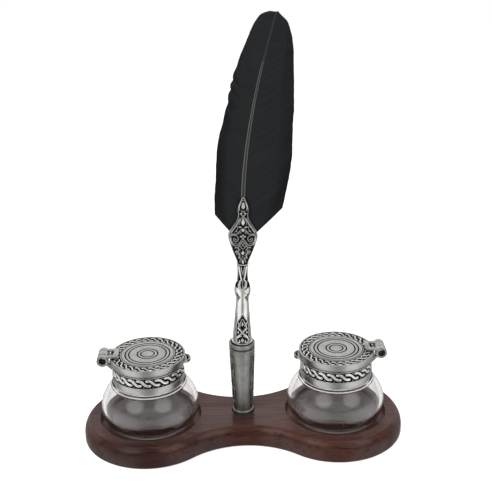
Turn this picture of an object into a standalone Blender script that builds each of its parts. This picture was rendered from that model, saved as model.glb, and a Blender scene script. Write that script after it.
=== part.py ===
"""A desk inkstand: a wooden stand, two glass inkwells with hinged lids, and a quill pen in its holder.

All sizes are in metres. The stand's length lies along X, its front faces -Y, and +Z is up.
The origin is the middle of the underside.
"""
import math

import bmesh
import bpy
from mathutils import Matrix, Vector

# The clearance that touching pieces keep, and how far a cutter runs past what it cuts
fit_gap = 0.0003
overrun = 0.0010
merge_distance = 0.00001

# Stand: two round lobes joined by hollow curves
lobe_radius = 0.0418
lobe_offset = 0.0582
waist_half_depth = 0.0208
board_thickness = 0.0130
top_round_width = 0.0041
top_round_height = 0.0085
bottom_round = 0.0015
felt_thickness = 0.0009
felt_inset = 0.0035
recess_clearance = 0.0010
recess_depth = 0.0040

# Inkwell glass, with heights from its foot
jar_radius = 0.0304
jar_height = 0.0400
belly_height = 0.0110
foot_radius = 0.0245
shoulder_radius = 0.0229
shoulder_height = 0.0274
ledge_radius = 0.0212
ledge_height = 0.0291
neck_radius = 0.0193
glass_wall = 0.0024
glass_floor = 0.0045
rim_round = 0.0005

# Collar: a plain band below and a sunk band for the braid above
cement_thickness = 0.0006
collar_wall = 0.0018
collar_edge_round = 0.0004
plain_band_height = 0.0046
top_band_height = 0.0007
braid_depth = 0.0006
lip_thickness = 0.0007
lip_overlap = 0.0017

# Lid, with a sunk border for the braid and a plug that enters the neck
lid_height = 0.0047
lid_flare = 0.0009
lid_edge_round = 0.0003
lid_side_shares = (0, 0.3, 0.6, 1)
border_width = 0.0052
border_depth = 0.0004
border_lip = 0.0011
plug_clearance = 0.0007
plug_depth = 0.0020

# Hinge: its axis is level and lies across the stand
hinge_clearance = 0.0039
hinge_height = 0.0034
knuckle_radius = 0.00355
pin_radius = 0.00185
middle_knuckle_length = 0.0052
ear_length = 0.0035
pin_set_back = 0.0011
strap_thickness = 0.0011
strap_reach = 0.0056
strap_bridge = 0.0030
strap_corner = 0.0015
strap_shoulder = 0.0003
lug_depth = 0.0043

# Thumb tab opposite the hinge
tab_half_width = 0.0050
tab_length = 0.0032
tab_thickness = 0.0016
tab_dish_depth = 0.0006
tab_rim = 0.0010

# Pen holder: a tapering tube that stands in a socket
holder_set_back = 0.0022
holder_length = 0.0547
holder_rim_radius = 0.0080
holder_rim_height = 0.0040
holder_groove_radius = 0.00725
holder_groove_height = 0.0012
holder_foot_radius = 0.0065
holder_edge_round = 0.0005
mouth_radius = 0.0069
bore_floor_radius = 0.0050
bore_depth = 0.0442
socket_depth = 0.0070
socket_clearance = 0.0005

# Screw that holds the pen holder from below
screw_radius = 0.0012
screw_length = 0.0096
screw_head_radius = 0.0034
screw_head_height = 0.0020
screw_slot_width = 0.0009
screw_slot_depth = 0.0010
head_recess_depth = 0.0030

# Pen, with heights from the lower end of its handle
pen_lean = math.radians(1.35)
pen_sunk_length = 0.0122
grip_radius = 0.0059
handle_length = 0.1057
plate_thickness = 0.0046
plate_half_width = 0.0082
slot_height = 0.0765
ferrule_plug_radius = 0.0022
ferrule_plug_length = 0.0060
ferrule_radius = 0.0037
ferrule_length = 0.0085
nib_radius = 0.0024
nib_thickness = 0.0004
nib_length = 0.0205
nib_grip = 0.0055
nib_slit_width = 0.0004
nib_wrap = math.radians(80)
nib_taper_start_share = 0.35
nib_point_share = 0.07
nib_taper_power = 1.3
slit_start_share = 0.45
slit_end_share = 0.93

# Feather: two webs on a quill that bends to one side and bows back
feather_length = 0.1328
feather_bend = 0.0175
bend_power = 1.7
feather_bow = 0.0040
web_thickness = 0.0005
web_camber = 0.0015
left_web_width = 0.0172
right_web_width = 0.0274
web_sweep_share = 0.13
barb_root_share = 0.985
barb_rise_power = 0.9
quill_radius = 0.00125
quill_tip_radius = 0.0003
quill_end = 0.0015

# How finely the round pieces are divided
round_segments = 32
small_segments = 20
lobe_segments = 32
waist_segments = 8
top_round_steps = 5
bottom_round_steps = 2
shoulder_steps = 6
foot_steps = 4
corner_steps = 3
tab_edge_steps = 6
tab_tip_steps = 10
barb_rows = 22
barb_columns = 5
quill_steps = 20
nib_rows = 9

# Heights and radii that follow from the sizes above
board_bottom = felt_thickness + fit_gap
board_top = board_bottom + board_thickness
recess_radius = jar_radius + recess_clearance
recess_floor = board_top - recess_depth
socket_floor = board_top - socket_depth
jar_foot = recess_floor + fit_gap
bore_radius = neck_radius - glass_wall
collar_bore = neck_radius + cement_thickness + 2 * fit_gap
collar_radius = collar_bore + collar_wall
collar_bottom = ledge_height + fit_gap
collar_top = jar_height + fit_gap + lip_thickness
lid_bottom = collar_top + fit_gap
lid_top = lid_bottom + lid_height
lid_radius = collar_radius + lid_flare
hinge_reach = lid_radius + hinge_clearance
hinge_level = lid_bottom + hinge_height
knuckle_bore = pin_radius + fit_gap
ear_start = middle_knuckle_length / 2 + fit_gap
ear_end = ear_start + ear_length
holder_foot = socket_floor + fit_gap
holder_top = holder_foot + holder_length
pen_foot = holder_top - pen_sunk_length
pen_pivot = pen_foot + pen_sunk_length / 2

# Colours, roughness and metallic share of each material
finishes = {
    "mahogany": ((0.090, 0.040, 0.030), 0.35, 0.0),
    "felt": ((0.020, 0.045, 0.030), 0.95, 0.0),
    "pewter": ((0.560, 0.550, 0.520), 0.35, 1.0),
    "steel": ((0.330, 0.330, 0.330), 0.40, 1.0),
    "glass": ((0.900, 0.930, 0.920), 0.03, 0.0),
    "cement": ((0.600, 0.580, 0.530), 0.90, 0.0),
    "feather": ((0.014, 0.016, 0.015), 0.60, 0.0),
    "quill": ((0.030, 0.030, 0.030), 0.40, 0.0),
}


def clear_scene():
    for old in list(bpy.data.objects):
        bpy.data.objects.remove(old, do_unlink=True)


def make_collection(name):
    collection = bpy.data.collections.new(name)
    bpy.context.scene.collection.children.link(collection)
    return collection


def make_material(piece, finish):
    """Give a piece its own material in one of the finishes."""
    color, roughness, metallic = finishes[finish]
    material = bpy.data.materials.new(f"{piece.name}_{finish}")
    material.use_nodes = True
    shader = material.node_tree.nodes["Principled BSDF"]
    shader.inputs["Base Color"].default_value = (*color, 1)
    shader.inputs["Roughness"].default_value = roughness
    shader.inputs["Metallic"].default_value = metallic
    if finish == "glass":
        shader.inputs["Transmission Weight"].default_value = 1
    piece.data.materials.clear()
    piece.data.materials.append(material)


def add_piece(name, data, finish, parent=None, place=(0, 0, 0)):
    """Put a sub-part in the parts collection, on its parent."""
    piece = bpy.data.objects.new(name, data)
    parts.objects.link(piece)
    piece.parent = parent
    piece.location = place
    make_material(piece, finish)
    return piece


def add_cutter(name, data, parent=None, place=(0, 0, 0)):
    """Put a solid that shapes others in the cutters collection."""
    cutter = bpy.data.objects.new(name, data)
    cutters.objects.link(cutter)
    cutter.parent = parent
    cutter.location = place
    cutter.hide_render = True
    cutter.display_type = "WIRE"
    return cutter


def add_axis(name, place, parent=None):
    """Make an empty that carries the pieces of one moving body."""
    axis = bpy.data.objects.new(name, None)
    parts.objects.link(axis)
    axis.parent = parent
    axis.location = place
    return axis


def shape(piece, other, operation):
    boolean = piece.modifiers.new(f"{operation.title()} {other.name}", "BOOLEAN")
    boolean.operation = operation
    boolean.object = other
    boolean.solver = "EXACT"


def finish_mesh(name, bm, smooth_angle=math.radians(35)):
    bmesh.ops.recalc_face_normals(bm, faces=bm.faces)
    mesh = bpy.data.meshes.new(name)
    bm.to_mesh(mesh)
    bm.free()
    mesh.shade_smooth()
    mesh.set_sharp_from_angle(angle=smooth_angle)
    return mesh


def turned_profile(name, profile, closed):
    """Lay out a profile of (radius, height) points, which runs down its outer side."""
    edges = [(i, i + 1) for i in range(len(profile) - 1)]
    if closed:
        edges.append((len(profile) - 1, 0))
    mesh = bpy.data.meshes.new(name)
    mesh.from_pydata([(radius, 0, height) for radius, height in profile], edges, [])
    return mesh


def turn(piece, segments):
    screw = piece.modifiers.new("Turn", "SCREW")
    screw.axis = "Z"
    screw.steps = segments
    screw.render_steps = segments
    screw.use_merge_vertices = True
    screw.merge_threshold = merge_distance
    screw.use_smooth_shade = True
    return piece


def add_turned(name, profile, finish, parent=None, place=(0, 0, 0), closed=False, segments=round_segments):
    return turn(add_piece(name, turned_profile(name, profile, closed), finish, parent, place), segments)


def cylinder_mesh(name, radius, start, end, axis="Z", segments=round_segments):
    """Make a closed cylinder from start to end along an axis through the origin."""
    bm = bmesh.new()
    bmesh.ops.create_cone(bm, cap_ends=True, segments=segments, radius1=radius, radius2=radius,
                          depth=end - start)
    bmesh.ops.translate(bm, verts=bm.verts, vec=(0, 0, (start + end) / 2))
    if axis == "Y":
        bmesh.ops.rotate(bm, verts=bm.verts, matrix=Matrix.Rotation(math.radians(-90), 3, "X"))
    return finish_mesh(name, bm)


def box_mesh(name, low, high):
    low, high = Vector(low), Vector(high)
    bm = bmesh.new()
    bmesh.ops.create_cube(bm, size=1)
    bmesh.ops.scale(bm, verts=bm.verts, vec=high - low)
    bmesh.ops.translate(bm, verts=bm.verts, vec=(low + high) / 2)
    return finish_mesh(name, bm)


def plate_mesh(name, outline, start, end, upright=False):
    """Extrude a flat outline from start to end along Z, or along Y where it stands upright."""
    curve = bpy.data.curves.new(name, "CURVE")
    curve.dimensions = "2D"
    curve.fill_mode = "BOTH"
    curve.extrude = (end - start) / 2
    spline = curve.splines.new("POLY")
    spline.points.add(len(outline) - 1)
    for point, (across, along) in zip(spline.points, outline):
        point.co = (across, along, 0, 1)
    spline.use_cyclic_u = True
    flat = bpy.data.objects.new(name, curve)
    cutters.objects.link(flat)
    if upright:
        flat.rotation_euler.x = math.radians(90)
        flat.location.y = (start + end) / 2
    else:
        flat.location.z = (start + end) / 2
    bpy.context.view_layer.update()
    evaluated = flat.evaluated_get(bpy.context.evaluated_depsgraph_get())
    bm = bmesh.new()
    bm.from_mesh(bpy.data.meshes.new_from_object(evaluated))
    bm.transform(flat.matrix_world)
    bmesh.ops.remove_doubles(bm, verts=bm.verts, dist=merge_distance)
    bpy.data.objects.remove(flat, do_unlink=True)
    return finish_mesh(name, bm)


def arc(centre, radius, start, end, steps):
    """List the points of an arc, its first and last ones included."""
    angles = [start + (end - start) * i / steps for i in range(steps + 1)]
    return [(centre[0] + radius * math.cos(a), centre[1] + radius * math.sin(a)) for a in angles]


def between(shares, place):
    """Read a table of (place, value) shares with straight runs between its rows."""
    for (start, low), (end, high) in zip(shares, shares[1:]):
        if place <= end:
            return low + (high - low) * (place - start) / (end - start)
    return shares[-1][1]


# Stand

def stand_outline(inset):
    """Go round the stand once: two lobes, joined by hollow curves that meet them smoothly."""
    radius = lobe_radius - inset
    half = waist_half_depth - inset
    hollow = (lobe_offset ** 2 + half ** 2 - radius ** 2) / (2 * (radius - half))
    meeting = math.atan2(half + hollow, lobe_offset)
    lobe_end = math.pi - meeting
    right = arc((lobe_offset, 0), radius, -lobe_end, lobe_end, lobe_segments)
    back = arc((0, half + hollow), hollow, -meeting, meeting - math.pi, waist_segments)
    left = [(-across, -along) for across, along in right]
    front = [(-across, -along) for across, along in back]
    return right[:-1] + back[:-1] + left[:-1] + front[:-1]


def board_mesh(name):
    """Round over the edge of the board, much at the top and a little below."""
    side_top = board_top - top_round_height
    side_bottom = board_bottom + bottom_round
    bm = bmesh.new()
    rim = [bm.verts.new((across, along, side_bottom)) for across, along in stand_outline(0)]
    bottom = bm.faces.new(rim)
    raised = bmesh.ops.extrude_face_region(bm, geom=[bottom], use_keep_orig=True)["geom"]
    top = next(item for item in raised if isinstance(item, bmesh.types.BMFace))
    bmesh.ops.translate(bm, verts=top.verts, vec=(0, 0, side_top - side_bottom))
    bm.normal_update()
    for face, outward, width, height, steps in (
            (top, 1, top_round_width, top_round_height, top_round_steps),
            (bottom, -1, bottom_round, bottom_round, bottom_round_steps)):
        if face.normal.z * outward < 0:
            face.normal_flip()
        turns = [math.radians(90) * i / steps for i in range(steps + 1)]
        for start, end in zip(turns, turns[1:]):
            bmesh.ops.inset_region(bm, faces=[face], use_boundary=True, use_even_offset=True,
                                   thickness=width * (math.cos(start) - math.cos(end)),
                                   depth=height * (math.sin(end) - math.sin(start)))
    return finish_mesh(name, bm)


def make_stand():
    board = add_piece("wooden_base", board_mesh("wooden_base"), "mahogany")
    recess = cylinder_mesh("recess", recess_radius, recess_floor, board_top + overrun)
    for side, direction in (("left", -1), ("right", 1)):
        shape(board, add_cutter(f"{side}_recess", recess, place=(direction * lobe_offset, 0, 0)), "DIFFERENCE")
    pen_place = (0, holder_set_back, 0)
    socket = cylinder_mesh("holder_socket", holder_foot_radius + socket_clearance, socket_floor,
                           board_top + overrun, segments=small_segments)
    shape(board, add_cutter("holder_socket", socket, place=pen_place), "DIFFERENCE")
    passage = cylinder_mesh("screw_passage", screw_radius + fit_gap, board_bottom, socket_floor + overrun,
                            segments=small_segments)
    shape(board, add_cutter("screw_passage", passage, place=pen_place), "DIFFERENCE")
    head_room = cylinder_mesh("screw_head_room", screw_head_radius + fit_gap, board_bottom - overrun,
                              board_bottom + head_recess_depth, segments=small_segments)
    shape(board, add_cutter("screw_head_room", head_room, place=pen_place), "DIFFERENCE")
    felt = plate_mesh("felt_underlay", stand_outline(felt_inset), 0, felt_thickness)
    add_piece("felt_underlay", felt, "felt")


# Pen holder and its screw

def make_holder():
    place = (0, holder_set_back, holder_foot)
    bore_floor = holder_length - bore_depth
    rim_bottom = holder_length - holder_rim_height
    groove_bottom = rim_bottom - holder_groove_height
    screw_hole = screw_radius + fit_gap
    screw_top = board_bottom + head_recess_depth - fit_gap + screw_length
    hole_top = screw_top + fit_gap - holder_foot
    profile = [
        (0, bore_floor), (bore_floor_radius, bore_floor), (mouth_radius, holder_length - holder_edge_round),
        (mouth_radius + holder_edge_round, holder_length), (holder_rim_radius - holder_edge_round, holder_length),
        (holder_rim_radius, holder_length - holder_edge_round), (holder_rim_radius, rim_bottom + holder_edge_round),
        (holder_groove_radius, rim_bottom), (holder_groove_radius, groove_bottom + holder_edge_round),
        (holder_rim_radius, groove_bottom - holder_edge_round), (holder_foot_radius, socket_depth),
        (holder_foot_radius, holder_edge_round), (holder_foot_radius - holder_edge_round, 0),
        (screw_hole, 0), (screw_hole, hole_top), (0, hole_top)]
    add_turned("pen_holder", profile, "pewter", place=place, segments=small_segments)

    head_top = board_bottom + head_recess_depth - fit_gap
    screw = [(0, screw_length), (screw_radius, screw_length), (screw_radius, 0), (screw_head_radius, 0),
             (screw_head_radius, -screw_head_height), (0, -screw_head_height)]
    piece = add_turned("holder_screw", screw, "steel", place=(0, holder_set_back, head_top),
                       segments=small_segments)
    slot = box_mesh("screw_slot",
                    (-screw_head_radius - overrun, -screw_slot_width / 2, -screw_head_height - overrun),
                    (screw_head_radius + overrun, screw_slot_width / 2, screw_slot_depth - screw_head_height))
    shape(piece, add_cutter("screw_slot", slot, place=(0, holder_set_back, head_top)), "DIFFERENCE")


# Inkwells

def dome(radius, rise, start_radius, steps):
    """List the points of a quarter ellipse, as (radius, height), from start_radius out to its widest."""
    first = math.acos(start_radius / radius)
    return [(radius * math.cos(first * (1 - i / steps)), rise * math.sin(first * (1 - i / steps)))
            for i in range(steps + 1)]


def jar_profile():
    """Go up the inside of the glass, over its rim, and down the outside."""
    rise = (shoulder_height - belly_height) / math.sqrt(1 - (shoulder_radius / jar_radius) ** 2)
    drop = belly_height / math.sqrt(1 - (foot_radius / jar_radius) ** 2)
    inner_radius = jar_radius - glass_wall
    inner_drop = drop - glass_wall
    floor_radius = inner_radius * math.sqrt(1 - ((belly_height - glass_floor) / inner_drop) ** 2)
    inner_top = [(r, belly_height + h) for r, h in dome(inner_radius, rise - glass_wall, bore_radius, shoulder_steps)]
    inner_low = [(r, belly_height - h) for r, h in dome(inner_radius, inner_drop, floor_radius, foot_steps)]
    outer_top = [(r, belly_height + h) for r, h in dome(jar_radius, rise, shoulder_radius, shoulder_steps)]
    outer_low = [(r, belly_height - h) for r, h in dome(jar_radius, drop, foot_radius, foot_steps)]
    drop_to_shoulder = ledge_height - shoulder_height
    neck = [(bore_radius, jar_height - rim_round), (bore_radius + rim_round, jar_height),
            (neck_radius - rim_round, jar_height), (neck_radius, jar_height - rim_round),
            (neck_radius, ledge_height), (ledge_radius, ledge_height),
            (ledge_radius, ledge_height - drop_to_shoulder / 2)]
    inside = [(0, glass_floor)] + inner_low + inner_top[-2::-1]
    return inside + neck + outer_top + outer_low[-2::-1] + [(0, 0)]


def cement_profile():
    inner = neck_radius + fit_gap
    outer = inner + cement_thickness
    top = jar_height - lip_thickness
    bottom = ledge_height + fit_gap
    return [(inner, top), (outer, top), (outer, bottom), (inner, bottom)]


def collar_profile():
    """Go down the outside of the collar and back up inside it."""
    ground = collar_radius - braid_depth
    band_bottom = collar_bottom + plain_band_height
    band_top = collar_top - top_band_height
    lip_bore = neck_radius - lip_overlap
    return [
        (lip_bore, collar_top), (collar_radius - collar_edge_round, collar_top),
        (collar_radius, collar_top - collar_edge_round), (collar_radius, band_top),
        (ground, band_top), (ground, band_bottom), (collar_radius, band_bottom),
        (collar_radius, collar_bottom + collar_edge_round), (collar_radius - collar_edge_round, collar_bottom),
        (collar_bore, collar_bottom), (collar_bore, collar_top - lip_thickness),
        (lip_bore, collar_top - lip_thickness)]


def lid_profile():
    """Go out over the top of the lid, down its flared side and in under its plug."""
    border_outer = lid_radius - border_lip
    border_inner = border_outer - border_width
    plug_radius = bore_radius - plug_clearance
    sunk = lid_top - border_depth
    side = [(lid_radius - lid_flare * share ** 2, lid_top - lid_edge_round - (lid_height - lid_edge_round) * share)
            for share in lid_side_shares]
    return [(0, lid_top), (border_inner, lid_top), (border_inner, sunk), (border_outer, sunk),
            (border_outer, lid_top), (lid_radius - lid_edge_round, lid_top)] + side + [
            (plug_radius, lid_bottom), (plug_radius, lid_bottom - plug_depth + lid_edge_round),
            (plug_radius - lid_edge_round, lid_bottom - plug_depth), (0, lid_bottom - plug_depth)]


def make_collar(side, well):
    """Turn the collar, then join the hinge's middle knuckle to it on a lug that passes under the lid."""
    name = f"{side}_collar"
    collar = add_turned(name, collar_profile(), "pewter", well, closed=True)
    half = middle_knuckle_length / 2
    root = -(collar_bore + collar_radius - braid_depth) / 2
    lug_top = collar_top - collar_edge_round / 2
    lug_foot = collar_top - lug_depth
    outline = [
        (root, lug_top), (root, lug_foot), (-collar_radius, lug_foot),
        (-hinge_reach, hinge_level - knuckle_radius + fit_gap), (-hinge_reach, hinge_level),
        (-lid_radius - 2 * fit_gap, lug_top)]
    lug = add_cutter(f"{side}_lug", plate_mesh("lug", outline, -half, half, upright=True), well)
    hinge_place = (-hinge_reach, 0, hinge_level)
    knuckle = cylinder_mesh("knuckle", knuckle_radius, -half, half, "Y", small_segments)
    bore = cylinder_mesh("collar_bore", knuckle_bore, -half - overrun, half + overrun, "Y", small_segments)
    shape(collar, lug, "UNION")
    shape(collar, add_cutter(f"{side}_knuckle", knuckle, well, hinge_place), "UNION")
    shape(collar, add_cutter(f"{side}_knuckle_bore", bore, well, hinge_place), "DIFFERENCE")


def strap_outline():
    """Draw the forked strap from its rounded inner end to the hinge's axis."""
    inner = hinge_clearance + strap_reach
    notch = inner - strap_bridge
    half_width = ear_end - strap_shoulder
    turns = [math.radians(90) * i / corner_steps for i in range(corner_steps + 1)]
    corner = [(inner - strap_corner * (1 - math.cos(a)), half_width - strap_corner * (1 - math.sin(a)))
              for a in turns]
    half = corner + [(0, half_width), (0, ear_start + strap_shoulder), (notch, ear_start + strap_shoulder)]
    return half + [(across, -along) for across, along in reversed(half)]


def make_strap(side, lid_axis):
    """Join the strap to its two ears and bore them for the pin."""
    rest = lid_top + fit_gap - hinge_level
    name = f"{side}_hinge_strap"
    strap = add_piece(name, plate_mesh(name, strap_outline(), rest, rest + strap_thickness), "pewter", lid_axis)
    for end, start, stop in (("front", -ear_end, -ear_start), ("back", ear_start, ear_end)):
        ear = cylinder_mesh(f"{end}_ear", knuckle_radius, start, stop, "Y", small_segments)
        shape(strap, add_cutter(f"{side}_{end}_ear", ear, lid_axis), "UNION")
    bore = cylinder_mesh("ear_bore", knuckle_bore, -ear_end - overrun, ear_end + overrun, "Y", small_segments)
    shape(strap, add_cutter(f"{side}_ear_bore", bore, lid_axis), "DIFFERENCE")


def make_tab(side, lid_axis):
    """Make the half-round tab, dished on top, that follows the lid's side."""
    inner = lid_radius
    spread = math.asin(tab_half_width / inner)
    edge = arc((0, 0), inner, -spread, spread, tab_edge_steps)
    start = inner * math.cos(spread)
    reach = inner + tab_length - start
    turns = [math.pi * i / tab_tip_steps for i in range(1, tab_tip_steps)]
    tip = [(start + reach * math.sin(turn), tab_half_width * math.cos(turn)) for turn in turns]
    bottom = lid_bottom - hinge_level
    top = bottom + tab_thickness
    name = f"{side}_thumb_tab"
    place = (hinge_reach, 0, 0)
    tab = add_piece(name, plate_mesh(name, edge + tip, bottom, top), "pewter", lid_axis, place)
    dish_half = tab_half_width - tab_rim
    dish_radius = (dish_half ** 2 + tab_dish_depth ** 2) / (2 * tab_dish_depth)
    bm = bmesh.new()
    bmesh.ops.create_uvsphere(bm, u_segments=round_segments, v_segments=round_segments, radius=dish_radius)
    dish_place = (place[0] + inner, 0, top + dish_radius - tab_dish_depth)
    dish = add_cutter(f"{side}_tab_dish", finish_mesh("tab_dish", bm), lid_axis, dish_place)
    shape(tab, dish, "DIFFERENCE")


def make_inkwell(side, direction):
    """Build an inkwell with its hinge on -X, and turn it so that the hinge faces outwards."""
    well = add_axis(f"{side}_inkwell_axis", (direction * lobe_offset, 0, jar_foot))
    well.rotation_euler.z = 0 if direction < 0 else math.pi
    lid_axis = add_axis(f"{side}_lid_axis", (-hinge_reach, 0, hinge_level), well)
    add_turned(f"{side}_glass_jar", jar_profile(), "glass", well)
    add_turned(f"{side}_neck_cement", cement_profile(), "cement", well, closed=True)
    make_collar(side, well)
    pin_half = ear_end - pin_set_back
    pin = cylinder_mesh(f"{side}_hinge_pin", pin_radius, -pin_half, pin_half, "Y", small_segments)
    add_piece(f"{side}_hinge_pin", pin, "steel", well, (-hinge_reach, 0, hinge_level))
    add_turned(f"{side}_lid", lid_profile(), "pewter", lid_axis, (hinge_reach, 0, -hinge_level))
    make_strap(side, lid_axis)
    make_tab(side, lid_axis)


# Pen

# The handle's half width up its height, as shares of grip_radius and handle_length
handle_shares = [
    (0, 1), (0.115, 1), (0.150, 0.97), (0.195, 0.88), (0.240, 0.80), (0.300, 0.72), (0.345, 0.65),
    (0.385, 0.65), (0.420, 0.72), (0.445, 0.80), (0.470, 0.74), (0.500, 0.55), (0.540, 0.46), (0.590, 0.46),
    (0.620, 0.50), (0.650, 0.42), (0.670, 0.22)]

# The plate's half width up its height, as shares of plate_half_width and handle_length
plate_shares = [
    (0.600, 0.28), (0.626, 0.40), (0.650, 0.48), (0.683, 0.66), (0.705, 0.79), (0.731, 0.90),
    (0.755, 0.98), (0.776, 1), (0.802, 0.91), (0.826, 0.76), (0.855, 0.55), (0.879, 0.41), (0.896, 0.38),
    (0.925, 0.41), (0.949, 0.36), (0.978, 0.22), (1, 0.03)]


def quill_place(height):
    """Find the quill's middle at a height from the lower end of the handle."""
    web_share = max(0, (height - slot_height) / feather_length)
    clear_share = max(0, (height - handle_length) / (slot_height + feather_length - handle_length))
    return Vector((feather_bend * clear_share ** bend_power, feather_bow * web_share ** 2, height))


def quill_thickness(height):
    share = max(0, (height - slot_height) / feather_length)
    return quill_radius + (quill_tip_radius - quill_radius) * share


def make_handle(pen):
    """Join the turned handle to its flat plate, and cut the slot that holds the feather."""
    profile = [(0, handle_shares[-1][0] * handle_length)]
    profile += [(grip_radius * width, handle_length * height) for height, width in reversed(handle_shares)]
    socket = ferrule_plug_radius + fit_gap
    socket_top = ferrule_plug_length + fit_gap
    profile += [(socket, 0), (socket, socket_top), (0, socket_top)]
    handle = add_turned("pen_handle", profile, "pewter", pen, segments=small_segments)
    right = [(plate_half_width * width, handle_length * height) for height, width in plate_shares]
    left = [(-across, up) for across, up in reversed(right)]
    plate = plate_mesh("handle_plate", right + left, -plate_thickness / 2, plate_thickness / 2, upright=True)
    shape(handle, add_cutter("handle_plate", plate, pen), "UNION")
    half_slot = web_thickness / 2 + fit_gap + quill_place(handle_length).y
    slot = box_mesh("feather_slot", (-plate_half_width - overrun, -half_slot, slot_height - fit_gap),
                    (plate_half_width + overrun, half_slot, handle_length + overrun))
    shape(handle, add_cutter("feather_slot", slot, pen), "DIFFERENCE")
    channel = cylinder_mesh("quill_channel", quill_radius + fit_gap, slot_height - quill_end - fit_gap,
                            handle_length + overrun, segments=small_segments)
    shape(handle, add_cutter("quill_channel", channel, pen), "DIFFERENCE")


def make_nib(pen):
    """Make the ferrule that plugs into the handle, and the split nib that it grips."""
    cup = nib_radius + fit_gap
    cup_top = -ferrule_length + nib_grip + fit_gap
    ferrule = [
        (0, ferrule_plug_length), (ferrule_plug_radius, ferrule_plug_length), (ferrule_plug_radius, -fit_gap),
        (ferrule_radius, -fit_gap), (ferrule_radius, -ferrule_length / 2), (cup + nib_thickness, -ferrule_length),
        (cup, -ferrule_length), (cup, cup_top), (0, cup_top)]
    add_turned("nib_ferrule", ferrule, "pewter", pen, segments=small_segments)
    top = -ferrule_length + nib_grip
    bm = bmesh.new()
    bmesh.ops.create_grid(bm, x_segments=nib_rows, y_segments=nib_rows, size=1)
    for vert in bm.verts:
        down = (1 - vert.co.y) / 2
        taper = max(0, down - nib_taper_start_share) / (1 - nib_taper_start_share)
        wrap = nib_wrap * (1 - (1 - nib_point_share) * taper ** nib_taper_power)
        middle = nib_radius - nib_thickness / 2
        vert.co = (middle * math.sin(wrap * vert.co.x), -middle * math.cos(wrap * vert.co.x),
                   top - nib_length * down)
    nib = add_piece("nib", finish_mesh("nib", bm), "steel", pen)
    wall = nib.modifiers.new("Wall", "SOLIDIFY")
    wall.thickness = nib_thickness
    wall.offset = 0
    slit = box_mesh("nib_slit", (-nib_slit_width / 2, -nib_radius - overrun, top - nib_length * slit_end_share),
                    (nib_slit_width / 2, 0, top - nib_length * slit_start_share))
    shape(nib, add_cutter("nib_slit", slit, pen), "DIFFERENCE")


# The outer ends of the webs, as shares of feather_length and of each web's width
left_web_shares = [
    (0.150, 0.96), (0.235, 0.965), (0.290, 0.94), (0.395, 0.975), (0.445, 0.98), (0.500, 0.955),
    (0.550, 0.90), (0.650, 0.86), (0.700, 0.86), (0.797, 0.80), (0.846, 0.74), (0.893, 0.68),
    (0.939, 0.62), (0.961, 0.56), (0.985, 0.40), (1, 0.05)]
right_web_shares = [
    (0.180, 0.85), (0.235, 0.905), (0.290, 0.94), (0.340, 0.96), (0.395, 0.967), (0.445, 0.94),
    (0.550, 0.875), (0.600, 0.845), (0.700, 0.745), (0.797, 0.625), (0.846, 0.56), (0.893, 0.47),
    (0.939, 0.35), (0.961, 0.27), (0.985, 0.12), (1, 0.03)]


def make_web(side, direction, width, edge_shares, pen):
    """Lay out one web as barbs, each from the quill up and out to the feather's edge."""
    first = edge_shares[0][0]
    bm = bmesh.new()
    bmesh.ops.create_grid(bm, x_segments=barb_columns, y_segments=barb_rows, size=1)
    for vert in bm.verts:
        barb = (vert.co.y + 1) / 2
        out = (vert.co.x + 1) / 2
        root_height = slot_height + feather_length * barb * barb_root_share
        edge_share = first + (1 - first) * barb ** barb_rise_power
        edge_height = slot_height + feather_length * edge_share
        clearance = quill_thickness(root_height) + fit_gap
        root = quill_place(root_height) + Vector((direction * clearance, 0, 0))
        edge = quill_place(edge_height) + Vector((direction * width * between(edge_shares, edge_share), 0, 0))
        sweep = out + web_sweep_share * math.sin(math.pi * out) * (1 - barb)
        spot = root.lerp(edge, out)
        spot.x = root.x + (edge.x - root.x) * sweep
        spot.y += web_camber * out ** 2 * barb
        vert.co = spot
    name = f"feather_vane_{side}"
    web = add_piece(name, finish_mesh(name, bm), "feather", pen)
    wall = web.modifiers.new("Wall", "SOLIDIFY")
    wall.thickness = web_thickness
    wall.offset = 0


def make_quill(pen):
    """Run a tapering quill from the foot of its channel to the feather's tip."""
    curve = bpy.data.curves.new("feather_shaft", "CURVE")
    curve.dimensions = "3D"
    curve.bevel_depth = quill_radius
    curve.bevel_resolution = 2
    curve.use_fill_caps = True
    spline = curve.splines.new("POLY")
    spline.points.add(quill_steps)
    start = slot_height - quill_end
    for i, point in enumerate(spline.points):
        height = start + (slot_height + feather_length - quill_end - start) * i / quill_steps
        point.co = (*quill_place(height), 1)
        point.radius = quill_thickness(height) / quill_radius
    add_piece("feather_shaft", curve, "quill", pen)


def make_pen():
    lean_axis = add_axis("pen_lean_axis", (0, holder_set_back, pen_pivot))
    lean_axis.rotation_euler.y = pen_lean
    pen = add_axis("pen_axis", (0, 0, pen_foot - pen_pivot), lean_axis)
    make_handle(pen)
    make_nib(pen)
    make_quill(pen)
    make_web("left", -1, left_web_width, left_web_shares, pen)
    make_web("right", 1, right_web_width, right_web_shares, pen)


clear_scene()
parts = make_collection("desk_inkstand")
cutters = make_collection("cutters")
make_stand()
make_holder()
make_inkwell("left", -1)
make_inkwell("right", 1)
make_pen()
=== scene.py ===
"""The looks of a desk inkstand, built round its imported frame.

Sizes are in metres. The stand lies along X, its front faces -Y, and +Z is up.
"""
import math

import bmesh
import bpy
from mathutils import Matrix, Vector, noise


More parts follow.
